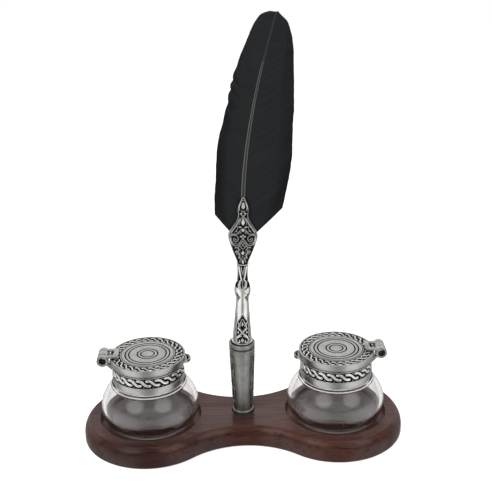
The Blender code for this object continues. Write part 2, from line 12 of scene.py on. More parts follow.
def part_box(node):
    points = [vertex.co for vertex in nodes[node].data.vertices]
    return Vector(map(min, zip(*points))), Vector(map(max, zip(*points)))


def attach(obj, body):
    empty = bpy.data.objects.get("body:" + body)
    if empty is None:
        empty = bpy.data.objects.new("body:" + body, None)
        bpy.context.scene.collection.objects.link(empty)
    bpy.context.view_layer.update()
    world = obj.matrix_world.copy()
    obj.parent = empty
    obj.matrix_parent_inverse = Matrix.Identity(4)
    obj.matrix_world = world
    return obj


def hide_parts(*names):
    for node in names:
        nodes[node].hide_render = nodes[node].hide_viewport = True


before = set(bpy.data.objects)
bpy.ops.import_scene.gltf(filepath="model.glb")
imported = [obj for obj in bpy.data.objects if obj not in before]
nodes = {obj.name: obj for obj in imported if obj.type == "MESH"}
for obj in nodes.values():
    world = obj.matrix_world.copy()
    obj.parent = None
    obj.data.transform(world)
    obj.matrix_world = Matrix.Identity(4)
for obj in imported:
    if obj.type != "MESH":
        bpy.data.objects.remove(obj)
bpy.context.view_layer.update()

# Camera: a studio photograph taken from half a metre away, a little above the lids, with a
# portrait lens. The stand is turned by a degree or two, and so is the camera.
lens_length = 64.01
camera_pitch = math.radians(20.868)
camera_turn = math.radians(-1.652)
camera_roll = math.radians(-0.958)
camera_distance = 0.514706
camera_target = Vector((0.00345, 0, 0.125574))

camera_back = Vector((math.sin(camera_turn) * math.cos(camera_pitch),
                      -math.cos(camera_turn) * math.cos(camera_pitch), math.sin(camera_pitch)))
level_right = Vector((0, 0, 1)).cross(camera_back).normalized()
level_up = camera_back.cross(level_right)
camera_right = level_right * math.cos(camera_roll) + level_up * math.sin(camera_roll)
camera_up = level_up * math.cos(camera_roll) - level_right * math.sin(camera_roll)
camera_data = bpy.data.cameras.new("camera")
camera_data.lens = lens_length
camera_data.clip_start = 0.01
camera = bpy.data.objects.new("camera", camera_data)
bpy.context.scene.collection.objects.link(camera)
camera.matrix_world = Matrix((camera_right, camera_up, camera_back)).transposed().to_4x4()
camera.location = camera_target + camera_back * camera_distance
bpy.context.scene.camera = camera


# Base: one board of mahogany in the outline of an eight, cut out on a bandsaw, rounded over with
# a router and lacquered. A round recess holds each inkwell, and a socket holds the pen's holder.
board_low, board_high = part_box("wooden_base")
jar_low, jar_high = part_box("right_glass_jar")
holder_low, holder_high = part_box("pen_holder")
lobe_radius = board_high.y
lobe_offset = board_high.x - lobe_radius
waist_half_depth = 0.0208
top_round_width = 0.0041
top_round_height = 0.0085
top_round_turn = math.radians(62)
edge_round = 0.0005
edge_round_turn = math.radians(40)
bottom_round = 0.0015
recess_radius = 0.0314
recess_floor = 0.0102
recess_round = 0.0005
socket_radius = 0.0070
socket_floor = 0.0072
holder_set_back = 0.0022
lobe_steps = 150
waist_steps = 40


def spin_corner(bm, corner, centre, turn, steps):
    """Carry a corner round a centre, which leaves an arc of edges, and return the arc's end."""
    made = bmesh.ops.spin(bm, geom=[corner], cent=(*centre, corner.co.z), axis=(0, 0, 1), angle=turn,
                          steps=steps)
    return next(item for item in made["geom_last"] if isinstance(item, bmesh.types.BMVert))


def stand_face(bm, inset, height):
    """Draw the stand's outline as four arcs that meet smoothly, and fill it."""
    radius = lobe_radius - inset
    half = waist_half_depth - inset
    hollow = (lobe_offset ** 2 + half ** 2 - radius ** 2) / (2 * (radius - half))
    meeting = math.atan2(half + hollow, lobe_offset)
    lobe_turn = 2 * (math.pi - meeting)
    corner = bm.verts.new((lobe_offset + radius * math.cos(lobe_turn / 2),
                           -radius * math.sin(lobe_turn / 2), height))
    for side in (1, -1):
        corner = spin_corner(bm, corner, (side * lobe_offset, 0), lobe_turn, lobe_steps)
        corner = spin_corner(bm, corner, (0, side * (half + hollow)), 2 * meeting - math.pi, waist_steps)
    bmesh.ops.remove_doubles(bm, verts=bm.verts, dist=1e-6)
    return bmesh.ops.contextual_create(bm, geom=bm.edges)["faces"][0]


def round_over(bm, face, outward, width, height, steps, full_turn=math.pi / 2):
    """Round a flat face's border over towards the face, as a router does, through a turn."""
    if face.normal.z * outward < 0:
        face.normal_flip()
    turns = [full_turn * i / steps for i in range(steps + 1)]
    width /= 1 - math.cos(full_turn)
    height /= math.sin(full_turn)
    for start, end in zip(turns, turns[1:]):
        bmesh.ops.inset_region(bm, faces=[face], use_boundary=True, use_even_offset=True,
                               thickness=width * (math.cos(start) - math.cos(end)),
                               depth=height * (math.sin(end) - math.sin(start)))


def sink_hole(bm, edges, centre, radius, floor, softening, steps=4):
    """Sink a round pocket from a circle of edges, with its upper edge a little softened."""
    top = edges[0].verts[0].co.z
    space = Matrix.Translation((-centre[0], -centre[1], 0))
    now = radius + softening
    rings = [(radius + softening * (1 - math.sin(math.pi / 2 * i / steps)),
              top - softening * (1 - math.cos(math.pi / 2 * i / steps))) for i in range(1, steps + 1)]
    for target, level in rings + [(radius, floor)]:
        made = bmesh.ops.extrude_edge_only(bm, edges=edges)["geom"]
        verts = [item for item in made if isinstance(item, bmesh.types.BMVert)]
        edges = [item for item in made if isinstance(item, bmesh.types.BMEdge)]
        bmesh.ops.scale(bm, verts=verts, vec=(target / now, target / now, 1), space=space)
        bmesh.ops.translate(bm, verts=verts, vec=(0, 0, level - verts[0].co.z))
        now = target
    bmesh.ops.contextual_create(bm, geom=edges)


def make_piece(name, bm, materials, body, sharp=32):
    """Close a bmesh into a piece that rides on a body and takes a slot's finish."""
    bmesh.ops.recalc_face_normals(bm, faces=bm.faces)
    for face in bm.faces:
        face.smooth = True
    for edge in bm.edges:
        if edge.calc_face_angle(0) > math.radians(sharp):
            edge.smooth = False
    mesh = bpy.data.meshes.new(name)
    bm.to_mesh(mesh)
    bm.free()
    for material in materials:
        mesh.materials.append(material)
    piece = bpy.data.objects.new(name, mesh)
    bpy.context.scene.collection.objects.link(piece)
    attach(piece, body)
    return piece


def new_finish(name, color, roughness, **inputs):
    """Start a procedural finish, and return it with its tree and its shader."""
    material = bpy.data.materials.new(name)
    material.use_nodes = True
    tree = material.node_tree
    shader = tree.nodes["Principled BSDF"]
    shader.inputs["Base Color"].default_value = (*color, 1)
    shader.inputs["Roughness"].default_value = roughness
    for key, value in inputs.items():
        shader.inputs[key.replace("_", " ")].default_value = value
    return material, tree, shader


def add_noise(tree, scale, detail=3.0, stretch=(1, 1, 1)):
    """Add a noise pattern on the piece's own coordinates, stretched along the given axes."""
    place = tree.nodes.new("ShaderNodeTexCoord")
    mapping = tree.nodes.new("ShaderNodeMapping")
    mapping.inputs["Scale"].default_value = stretch
    pattern = tree.nodes.new("ShaderNodeTexNoise")
    pattern.inputs["Scale"].default_value = scale
    pattern.inputs["Detail"].default_value = detail
    tree.links.new(place.outputs["Object"], mapping.inputs["Vector"])
    tree.links.new(mapping.outputs["Vector"], pattern.inputs["Vector"])
    return pattern.outputs["Fac"]


def add_ramp(tree, value, stops):
    """Turn a value into a colour by (place, colour) stops."""
    ramp = tree.nodes.new("ShaderNodeValToRGB")
    points = ramp.color_ramp.elements
    for point, (place, color) in zip((points[0], points[1]), (stops[0], stops[-1])):
        point.position, point.color = place, (*color, 1)
    for place, color in stops[1:-1]:
        points.new(place).color = (*color, 1)
    tree.links.new(value, ramp.inputs["Fac"])
    return ramp.outputs["Color"]


def add_range(tree, value, low, high):
    """Spread a pattern's middle range over the values from low to high."""
    spread = tree.nodes.new("ShaderNodeMapRange")
    spread.inputs["From Min"].default_value = 0.35
    spread.inputs["From Max"].default_value = 0.65
    spread.inputs["To Min"].default_value = low
    spread.inputs["To Max"].default_value = high
    tree.links.new(value, spread.inputs["Value"])
    return spread.outputs["Result"]


def add_bump(tree, shader, value, distance):
    """Raise a pattern as fine relief, by up to a distance."""
    bump = tree.nodes.new("ShaderNodeBump")
    bump.inputs["Distance"].default_value = distance
    tree.links.new(value, bump.inputs["Height"])
    tree.links.new(bump.outputs["Normal"], shader.inputs["Normal"])


def mix_colors(tree, share, first, second, mode="MIX"):
    """Lay one colour over another by a share, which is a number or another node's output."""
    mix = tree.nodes.new("ShaderNodeMix")
    mix.data_type = "RGBA"
    mix.blend_type = mode
    for socket, value in ((mix.inputs[0], share), (mix.inputs[6], first), (mix.inputs[7], second)):
        if isinstance(value, bpy.types.NodeSocket):
            tree.links.new(value, socket)
        else:
            socket.default_value = value
    return mix.outputs[2]


bm = bmesh.new()
board_face = stand_face(bm, 0, board_low.z + bottom_round)
raised = bmesh.ops.extrude_face_region(bm, geom=[board_face], use_keep_orig=True)["geom"]
board_top_face = next(item for item in raised if isinstance(item, bmesh.types.BMFace))
side_height = board_high.z - top_round_height - board_low.z - bottom_round
bmesh.ops.translate(bm, verts=board_top_face.verts, vec=(0, 0, side_height))
bm.normal_update()
round_over(bm, board_top_face, 1, top_round_width - edge_round, top_round_height - edge_round * 0.5, 14,
           top_round_turn)
round_over(bm, board_top_face, 1, edge_round, edge_round * 0.5, 3, edge_round_turn)
round_over(bm, board_face, -1, bottom_round, bottom_round, 5)
rim = list(board_top_face.edges)
for edge in rim:
    edge.smooth = False
bmesh.ops.delete(bm, geom=[board_top_face], context="FACES_ONLY")
pockets = [((-lobe_offset, 0), recess_radius, recess_floor, 160),
           ((lobe_offset, 0), recess_radius, recess_floor, 160),
           ((0, holder_set_back), socket_radius, socket_floor, 64)]
circles = []
for centre, radius, _, segments in pockets:
    ring = bmesh.ops.create_circle(bm, cap_ends=False, radius=radius + recess_round, segments=segments,
                                   matrix=Matrix.Translation((*centre, board_high.z)))["verts"]
    circles.append(list({edge for vert in ring for edge in vert.link_edges}))
bmesh.ops.triangle_fill(bm, edges=rim + sum(circles, []), use_beauty=True, normal=(0, 0, 1))
for (centre, radius, floor, _), edges in zip(pockets, circles):
    sink_hole(bm, edges, centre, radius, floor, recess_round)

mahogany_dark = (0.019, 0.0073, 0.0056)
mahogany_red = (0.042, 0.0152, 0.0112)
mahogany_light = (0.044, 0.0165, 0.0122)
mahogany, tree, shader = new_finish("mahogany", mahogany_red, 0.33, Specular_IOR_Level=0.12, Coat_Weight=0.25,
                                    Coat_Roughness=0.17)
figure = add_noise(tree, 26, 4.0, (0.35, 2.2, 1.6))
grain = add_noise(tree, 210, 5.0, (0.10, 1.6, 1.2))
pores = add_noise(tree, 900, 2.0, (0.07, 1.0, 1.0))
ground = add_ramp(tree, figure, [(0.30, mahogany_dark), (0.52, mahogany_red), (0.75, mahogany_light)])
streaks = add_ramp(tree, grain, [(0.36, (0.58, 0.55, 0.55)), (0.52, (1, 1, 1))])
specks = add_ramp(tree, pores, [(0.34, (0.45, 0.42, 0.42)), (0.42, (1, 1, 1))])
color = mix_colors(tree, 1.0, mix_colors(tree, 0.8, ground, streaks, "MULTIPLY"), specks, "MULTIPLY")
tree.links.new(color, shader.inputs["Base Color"])
tree.links.new(add_range(tree, grain, 0.40, 0.28), shader.inputs["Roughness"])
add_bump(tree, shader, pores, 0.00006)
base = make_piece("mahogany_base", bm, [mahogany], "stand", 40)
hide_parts("wooden_base")


# Underlay: a sheet of dark green felt, cut to the stand's outline and glued under the board, so
# that it doesn't scratch a desk.
felt_low, felt_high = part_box("felt_underlay")
felt_inset = lobe_radius - felt_high.y

bm = bmesh.new()
felt_face = stand_face(bm, felt_inset, felt_low.z)
felt_area = felt_face.calc_area()
felt_raised = bmesh.ops.extrude_face_region(bm, geom=[felt_face], use_keep_orig=True)["geom"]
bmesh.ops.translate(bm, verts=[item for item in felt_raised if isinstance(item, bmesh.types.BMVert)],
                    vec=(0, 0, felt_high.z - felt_low.z))
felt_green, tree, shader = new_finish("green_felt", (0.020, 0.045, 0.030), 0.95, Sheen_Weight=0.6,
                                      Sheen_Roughness=0.5)
fibres = add_noise(tree, 1800, 4.0)
tree.links.new(add_ramp(tree, fibres, [(0.3, (0.010, 0.026, 0.016)), (0.7, (0.034, 0.072, 0.048))]),
               shader.inputs["Base Color"])
add_bump(tree, shader, fibres, 0.0002)
felt = make_piece("felt_sheet", bm, [felt_green], "stand")
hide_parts("felt_underlay")


# Pen holder: a tapering tube of cast pewter, turned at its mouth and foot, that stands in the socket.
# A plain panel faces front and back, and between them each side is chased with curling stems on a
# dulled ground. A screw from below holds it.
holder_radius = 0.0080
holder_foot_radius = 0.0063
holder_ring_radius = 0.0066
mouth_radius = 0.0069
bore_floor_radius = 0.0050
bore_depth = 0.0442
rim_height = 0.0026
ring_height = 0.0016
groove_radius = 0.00715
groove_height = 0.0012
panel_half_turn = math.radians(43)
chased_depth = 0.00022
chased_low = 0.0178
chased_high = 0.0545
chased_half_width = 0.0054
stem_count = 8
stem_half_width = 0.00036
stem_half_height = 0.00034

pewter_grey = (0.455, 0.455, 0.435)
pewter_dull = (0.375, 0.375, 0.355)


def make_pewter(name, light, dull, roughness, brush=(1, 1, 1)):
    """Cast pewter: a soft grey shine with faint brush marks, cloudy patches and a few small pits."""
    material, tree, shader = new_finish(name, light, roughness, Metallic=1.0)
    clouds = add_noise(tree, 150, 3.0)
    marks = add_noise(tree, 1400, 4.0, brush)
    tree.links.new(add_ramp(tree, clouds, [(0.35, dull), (0.62, light)]), shader.inputs["Base Color"])
    tree.links.new(add_range(tree, marks, roughness * 0.75, roughness * 1.3), shader.inputs["Roughness"])
    add_bump(tree, shader, marks, 0.00003)
    return material


def make_black_ground():
    """Pewter blackened with acid and left dark where the polishing wheel doesn't reach."""
    material, tree, shader = new_finish("blackened_ground", (0.004, 0.004, 0.004), 0.75,
                                        Specular_IOR_Level=0.06)
    grit = add_noise(tree, 2500, 4.0)
    tree.links.new(add_ramp(tree, grit, [(0.35, (0.002, 0.002, 0.002)), (0.7, (0.010, 0.0098, 0.0095))]),
                   shader.inputs["Base Color"])
    add_bump(tree, shader, grit, 0.00006)
    return material


polished_pewter = make_pewter("polished_pewter", (0.78, 0.775, 0.75), (0.64, 0.635, 0.61), 0.17)
satin_pewter = make_pewter("satin_pewter", pewter_grey, pewter_dull, 0.33, (0.5, 0.5, 2.5))
drawn_pewter = make_pewter("drawn_pewter", (0.41, 0.415, 0.395), (0.30, 0.305, 0.285), 0.50, (2.5, 2.5, 0.12))
black_ground = make_black_ground()


def ease_corners(points, size, steps=3):
    """Round each corner of a profile by about a size, or less where its sides are short."""
    eased = [points[0]]
    for before, here, after in zip(points, points[1:], points[2:]):
        here = Vector(here)
        back, ahead = Vector(before) - here, Vector(after) - here
        reach = min(size, back.length * 0.45, ahead.length * 0.45)
        if back.length < 1e-7 or ahead.length < 1e-7 or back.angle(ahead) > math.radians(160):
            eased.append(tuple(here))
            continue
        start, end = here + back.normalized() * reach, here + ahead.normalized() * reach
        for i in range(steps + 1):
            share = i / steps
            eased.append(tuple(start.lerp(here, share).lerp(here.lerp(end, share), share)))
    return eased + [points[-1]]


def turn_profile(points, segments, closed=False):
    """Turn a profile of (radius, height) points into a solid of revolution round the upright axis."""
    bm = bmesh.new()
    verts = [bm.verts.new((radius, 0, height)) for radius, height in points]
    edges = [bm.edges.new(pair) for pair in zip(verts, verts[1:])]
    if closed:
        edges.append(bm.edges.new((verts[-1], verts[0])))
    bmesh.ops.spin(bm, geom=verts + edges, cent=(0, 0, 0), axis=(0, 0, 1), angle=2 * math.pi,
                   steps=segments, use_merge=True)
    bmesh.ops.remove_doubles(bm, verts=bm.verts, dist=1e-7)
    return bm


def fill_heights(points, low, high, step):
    """Add points to the straight runs of a profile between two heights, for relief to follow."""
    filled = [points[0]]
    for (r0, h0), (r1, h1) in zip(points, points[1:]):
        inside = min(h0, h1) < high and max(h0, h1) > low and abs(h1 - h0) > step
        count = max(1, int(abs(h1 - h0) / step)) if inside else 1
        filled += [(r0 + (r1 - r0) * i / count, h0 + (h1 - h0) * i / count) for i in range(1, count + 1)]
    return filled


def lay_wire(bm, route, half_width, half_height, steps, sides=8, pointed=True, look=0.004):
    """Lay a raised stem of oval section along a flat route, which gives a place for each share."""
    for vert in bmesh.ops.create_grid(bm, x_segments=sides, y_segments=steps, size=1)["verts"]:
        share, turn = (vert.co.y + 1) / 2, math.pi * (vert.co.x + 1)
        here = route(share)
        ahead = route(min(1, share + look)) - route(max(0, share - look))
        across = Vector((-ahead.y, ahead.x, 0)).normalized()
        end = 1
        if pointed:
            end = min(1, math.sqrt(max(0, 1 - abs(2 * share - 1) ** (steps / 1.6))))
        vert.co = here + across * half_width * end * math.cos(turn)
        vert.co.z += half_height * end * math.sin(turn)


def through(points):
    """Make a smooth route through a few chosen (across, up) points."""
    spots = [Vector((*point, 0)) for point in points]
    spots = [2 * spots[0] - spots[1]] + spots + [2 * spots[-1] - spots[-2]]

    def route(share):
        place = share * (len(spots) - 3)
        i = min(int(place), len(spots) - 4)
        t = place - i
        a, b, c, d = spots[i:i + 4]
        return (b * 2 + (c - a) * t + (a * 2 - b * 5 + c * 4 - d) * t ** 2
                + (b * 3 - a - c * 3 + d) * t ** 3) / 2
    return route


def curl(centre, radius, start, turns):
    """Make a route that winds in from a radius round a centre, as the end of a scroll does."""
    def route(share):
        angle = start + 2 * math.pi * turns * share
        reach = radius * (1 - 0.78 * share)
        return Vector((centre[0] + reach * math.cos(angle), centre[1] + reach * math.sin(angle), 0))
    return route


def lay_drop(bm, centre, half_width, half_length, half_height, lean=0.0):
    """Lay a leaf or a drop: a small rounded boss, drawn to a point at its upper end."""
    for vert in bmesh.ops.create_icosphere(bm, subdivisions=2, radius=1)["verts"]:
        narrow = 1 - 0.75 * max(0, vert.co.y) ** 1.3
        spot = Vector((vert.co.x * half_width * narrow, vert.co.y * half_length, 0))
        spot.rotate(Matrix.Rotation(lean, 3, "Z"))
        vert.co = Vector((centre[0] + spot.x, centre[1] + spot.y,
                          vert.co.z * half_height * (0.5 + narrow / 2)))


def join_to(bm, part, place=None, finish=None):
    """Copy a part onto a piece, with each of its points moved to where it belongs, in a finish."""
    bmesh.ops.remove_doubles(part, verts=part.verts, dist=1e-6)
    mesh = bpy.data.meshes.new("joined_part")
    part.to_mesh(mesh)
    if place:
        for vert in mesh.vertices:
            vert.co = place(vert.co)
    if finish:
        for polygon in mesh.polygons:
            polygon.material_index = finish
    bm.from_mesh(mesh)
    bpy.data.meshes.remove(mesh)


def holder_outer(height):
    """Find the holder's outer radius at a height, between its two mouldings."""
    low, high = board_high.z, holder_high.z - rim_height - groove_height
    share = min(1, max(0, (height - low) / (high - low)))
    return holder_foot_radius + (holder_radius - holder_foot_radius) * share


holder_top = holder_high.z
ring_top = board_high.z + ring_height
holder_profile = ease_corners([
    (0, holder_top - bore_depth), (bore_floor_radius, holder_top - bore_depth), (mouth_radius, holder_top),
    (holder_radius, holder_top), (holder_radius, holder_top - rim_height),
    (groove_radius, holder_top - rim_height), (groove_radius, holder_top - rim_height - groove_height),
    (holder_radius, holder_top - rim_height - groove_height),
    (holder_outer(ring_top) - 0.0003, ring_top), (holder_ring_radius, ring_top - 0.0003),
    (holder_ring_radius, board_high.z - 0.0004), (holder_foot_radius, board_high.z - 0.0008),
    (holder_foot_radius, holder_low.z), (0, holder_low.z)], 0.0005, 4)
bm = turn_profile(fill_heights(holder_profile, chased_low - 0.002, chased_high + 0.002, 0.0004), 144)


def side_turn(place):
    """Give how far a place lies round from the middle of the nearer chased side."""
    return abs(abs(math.atan2(place.y, place.x)) - (math.pi if place.x < 0 else 0))


side_half_turn = math.pi / 2 - panel_half_turn
for vert in bm.verts:
    if chased_low <= vert.co.z <= chased_high and vert.co.xy.length > holder_outer(vert.co.z) - 0.0002:
        if side_turn(vert.co) < side_half_turn:
            vert.co.xy *= 1 - chased_depth / vert.co.xy.length
for face in bm.faces:
    spot = face.calc_center_median()
    if chased_low < spot.z < chased_high and spot.xy.length > holder_outer(spot.z) - 0.0004:
        if side_turn(spot) < side_half_turn + 0.01:
            face.material_index = 1
    # The groove under the rim and the bore just inside the mouth take the dark ground as painted shade.
    elif spot.z > holder_top - rim_height - groove_height and spot.xy.length < groove_radius + 0.0002:
        face.material_index = 1 if spot.z < holder_top - 0.001 else 0
side_ornament = bmesh.new()
stem_pitch = (chased_high - chased_low) / stem_count
for i in range(stem_count):
    side = 1 if i % 2 else -1
    low = chased_low + stem_pitch * i
    stem = through([(-side * 0.0002, low - 0.0006), (side * 0.0021, low + stem_pitch * 0.5),
                    (side * 0.0002, low + stem_pitch * 1.15)])
    lay_wire(side_ornament, stem, stem_half_width, stem_half_height, 10)
    lay_wire(side_ornament, curl((-side * 0.0019, low + stem_pitch * 0.55), 0.0019,
                                 math.radians(-60 if side > 0 else 240), 1.25 * side),
             stem_half_width, stem_half_height, 22)
    lay_drop(side_ornament, (side * 0.0039, low + stem_pitch * 0.45), 0.0007, 0.0016, 0.00036,
             math.radians(-18 * side))
    lay_drop(side_ornament, (-side * 0.0042, low + stem_pitch * 0.95), 0.0006, 0.0013, 0.00034,
             math.radians(22 * side))
for across in (-chased_half_width, chased_half_width):
    border = through([(across, chased_low + 0.0004), (across, (chased_low + chased_high) / 2),
                      (across, chased_high - 0.0004)])
    lay_wire(side_ornament, border, 0.00022, 0.0003, 30, 6)
for facing in (0, math.pi):
    def on_holder_side(spot):
        reach = holder_outer(spot.y) - chased_depth + spot.z
        turn = facing + spot.x / holder_radius
        return Vector((reach * math.cos(turn), reach * math.sin(turn), spot.y))
    join_to(bm, side_ornament, on_holder_side)
side_ornament.free()
bmesh.ops.translate(bm, verts=bm.verts, vec=(0, holder_set_back, 0))
bmesh.ops.remove_doubles(bm, verts=bm.verts, dist=2e-6)
# A dark pewter: the dulled ground of the chased sides, and painted shade in the groove and just inside the
# mouth.
chased_ground_and_painted_shade = make_pewter("chased_ground_and_painted_shade", (0.16, 0.16, 0.155), (0.10, 0.10, 0.096), 0.5)
holder = make_piece("pen_holder_tube", bm, [drawn_pewter, chased_ground_and_painted_shade], "stand", 40)
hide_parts("pen_holder")


def finish_node(name, material):
    """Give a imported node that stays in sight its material."""
    slots = nodes[name].data.materials
    slots.clear()
    slots.append(material)


plain_steel = make_pewter("plain_steel", (0.36, 0.36, 0.36), (0.28, 0.28, 0.28), 0.35, (1, 1, 4))
finish_node("holder_screw", plain_steel)


# Inkwells: pressed clear glass, squat and round, with a thick foot, a bead at the shoulder and a
# short straight neck. The inside follows the outside at the thickness of the wall.
jar_height = jar_high.z - jar_low.z
jar_radius = (jar_high.x - jar_low.x) / 2
belly_height = 0.0110
foot_radius = 0.0245
shoulder_radius = 0.0229
shoulder_height = 0.0274
ledge_radius = 0.0212
ledge_height = 0.0291
bead_place = (0.0225, 0.0276)
bead_round = 0.0009
neck_radius = 0.0193
glass_wall = 0.0024
glass_floor = 0.0045
bore_radius = neck_radius - glass_wall
glass_tint = (0.54, 0.53, 0.525, 1)
glass_density = 70


def belly_curve(radius, rise, start_radius, steps):
    """List the (radius, height) points of an ellipse's arc, from a start radius out to the belly."""
    first = math.acos(start_radius / radius)
    turns = [first * (1 - i / steps) for i in range(steps + 1)]
    return [(radius * math.cos(turn), belly_height + rise * math.sin(turn)) for turn in turns]


clear_glass, tree, shader = new_finish("clear_glass", (0.92, 0.92, 0.92), 0.02, Transmission_Weight=1.0,
                                       IOR=1.48)
depth_tint = tree.nodes.new("ShaderNodeVolumeAbsorption")
depth_tint.inputs["Color"].default_value = glass_tint
depth_tint.inputs["Density"].default_value = glass_density
tree.links.new(depth_tint.outputs["Volume"], tree.nodes["Material Output"].inputs["Volume"])

outer_rise = (shoulder_height - belly_height) / math.sqrt(1 - (shoulder_radius / jar_radius) ** 2)
outer_drop = belly_height / math.sqrt(1 - (foot_radius / jar_radius) ** 2)
inner_radius = jar_radius - glass_wall
inner_rise, inner_drop = outer_rise - glass_wall, outer_drop - glass_wall
floor_radius = inner_radius * math.sqrt(1 - ((belly_height - glass_floor) / inner_drop) ** 2)
jar_inside = ([(0, glass_floor + 0.0003)] + belly_curve(inner_radius, -inner_drop, floor_radius, 12)
              + belly_curve(inner_radius, inner_rise, bore_radius, 28)[-2::-1])
jar_bead = [(bead_place[0] + bead_round * math.cos(math.radians(turn)),
             bead_place[1] + bead_round * math.sin(math.radians(turn))) for turn in range(150, -61, -15)]
jar_neck = [(bore_radius, jar_height), (neck_radius, jar_height), (neck_radius, ledge_height),
            (ledge_radius, ledge_height), (ledge_radius, ledge_height - 0.0008)] + jar_bead
jar_outside = (belly_curve(jar_radius, outer_rise, shoulder_radius + 0.0006, 30)
               + belly_curve(jar_radius, -outer_drop, foot_radius, 14)[-2::-1]
               + [(foot_radius - 0.0006, 0.0), (foot_radius - 0.0045, 0.0), (foot_radius - 0.0075, 0.0005),
                  (0, 0.0008)])
for side, place in (("left", -lobe_offset), ("right", lobe_offset)):
    bm = turn_profile(ease_corners(jar_inside + jar_neck + jar_outside, 0.0005), 128)
    bmesh.ops.translate(bm, verts=bm.verts, vec=(place, 0, jar_low.z))
    jar = make_piece(f"{side}_jar", bm, [clear_glass], f"{side}_inkwell", 60)
    jar.visible_shadow = False    # so that light reaches the recess through the clear glass
    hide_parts(f"{side}_glass_jar")

white_cement, tree, shader = new_finish("white_cement", (0.60, 0.58, 0.53), 0.9)
sand = add_noise(tree, 1600, 4.0)
tree.links.new(add_ramp(tree, sand, [(0.3, (0.46, 0.44, 0.40)), (0.7, (0.68, 0.66, 0.61))]),
               shader.inputs["Base Color"])
add_bump(tree, shader, sand, 0.00015)
for side in ("left", "right"):
    finish_node(f"{side}_neck_cement", white_cement)


# Collars: cast pewter rings, cemented over the glass necks. A bold plait of two stems stands in a
# blackened band between two plain ones, and a lug at the outer side carries the middle of the hinge.
fit_gap = 0.0003
collar_bore = neck_radius + 0.0012
collar_radius = collar_bore + 0.0018
collar_bottom = jar_low.z + ledge_height + fit_gap
collar_top = jar_high.z + 0.0010
band_low = collar_bottom + 0.0046
band_high = collar_top - 0.0007
band_depth = 0.0006
lip_bore = neck_radius - 0.0017
lip_thickness = 0.0007
plait_crossings = 24
plait_reach = 0.00168
plait_half_width = 0.00088
plait_first_turns = {"left": math.radians(-3.75), "right": math.radians(4.6)}
pin_low, pin_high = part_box("right_hinge_pin")
hinge_reach = (pin_low.x + pin_high.x) / 2 - lobe_offset
hinge_level = (pin_low.z + pin_high.z) / 2
pin_bore = (pin_high.x - pin_low.x) / 2 + fit_gap
knuckle_radius = 0.00355
middle_half = 0.0026
lug_depth = 0.0043


def lay_plait(bm, length, crossings, reach, half_width, half_height, studded=True, steps=14):
    """Plait two stems along a flat band, each dipping under the other, with studs along both edges."""
    for side in (-1, 1):
        def route(share, side=side):
            phase = math.pi * crossings * share
            wave = math.sin(phase)
            under = min(1, max(0, (side * math.cos(phase) - 0.52) / 0.36))
            return Vector((share * length, side * reach * wave * (1.22 - 0.22 * wave * wave),
                           -1.5 * half_height * under))
        lay_wire(bm, route, half_width, half_height, crossings * steps, 10, pointed=False, look=0.0006)
    if not studded:
        return
    pitch = length / crossings
    for i in range(crossings):
        for side in (-1, 1):
            stud = bmesh.ops.create_cone(bm, cap_ends=True, segments=3, radius1=half_width * 0.70,
                                         radius2=half_width * 0.35, depth=half_height * 1.6)["verts"]
            for vert in stud:
                spot = Vector((vert.co.y * 1.15, -side * vert.co.x * 0.60, vert.co.z))
                vert.co = spot + Vector((pitch * i, side * (reach + half_width * 0.82), half_height * 0.35))


def turn_hinge_ring(start, end):
    """Turn one knuckle of the hinge, bored for the pin, along the hinge's axis."""
    middle = (start + end) / 2
    ring = turn_profile(ease_corners([(knuckle_radius, middle), (knuckle_radius, end), (pin_bore, end),
                                      (pin_bore, start), (knuckle_radius, start)], 0.0005), 48, closed=True)
    bmesh.ops.rotate(ring, verts=ring.verts, matrix=Matrix.Rotation(math.radians(-90), 3, "X"))
    bmesh.ops.translate(ring, verts=ring.verts, vec=(-hinge_reach, 0, hinge_level))
    return ring


def cut_plate(outline, start, end, softening):
    """Cut a plate from an (across, up) outline, from start to end along Y, with softened edges."""
    plate = bmesh.new()
    face = plate.faces.new([plate.verts.new((across, start, up)) for across, up in outline])
    made = bmesh.ops.extrude_face_region(plate, geom=[face], use_keep_orig=True)["geom"]
    bmesh.ops.translate(plate, verts=[item for item in made if isinstance(item, bmesh.types.BMVert)],
                        vec=(0, end - start, 0))
    bmesh.ops.recalc_face_normals(plate, faces=plate.faces)
    bmesh.ops.bevel(plate, geom=plate.edges, offset=softening, segments=2, profile=0.5, affect="EDGES",
                    material=-1, clamp_overlap=True)
    return plate


def turn_to_side(bm, side):
    """Move an inkwell's piece, made with its hinge towards -X, to its own lobe of the stand."""
    if side == "right":
        bmesh.ops.rotate(bm, verts=bm.verts, matrix=Matrix.Rotation(math.pi, 3, "Z"))
    bmesh.ops.translate(bm, verts=bm.verts, vec=(lobe_offset if side == "right" else -lobe_offset, 0, 0))


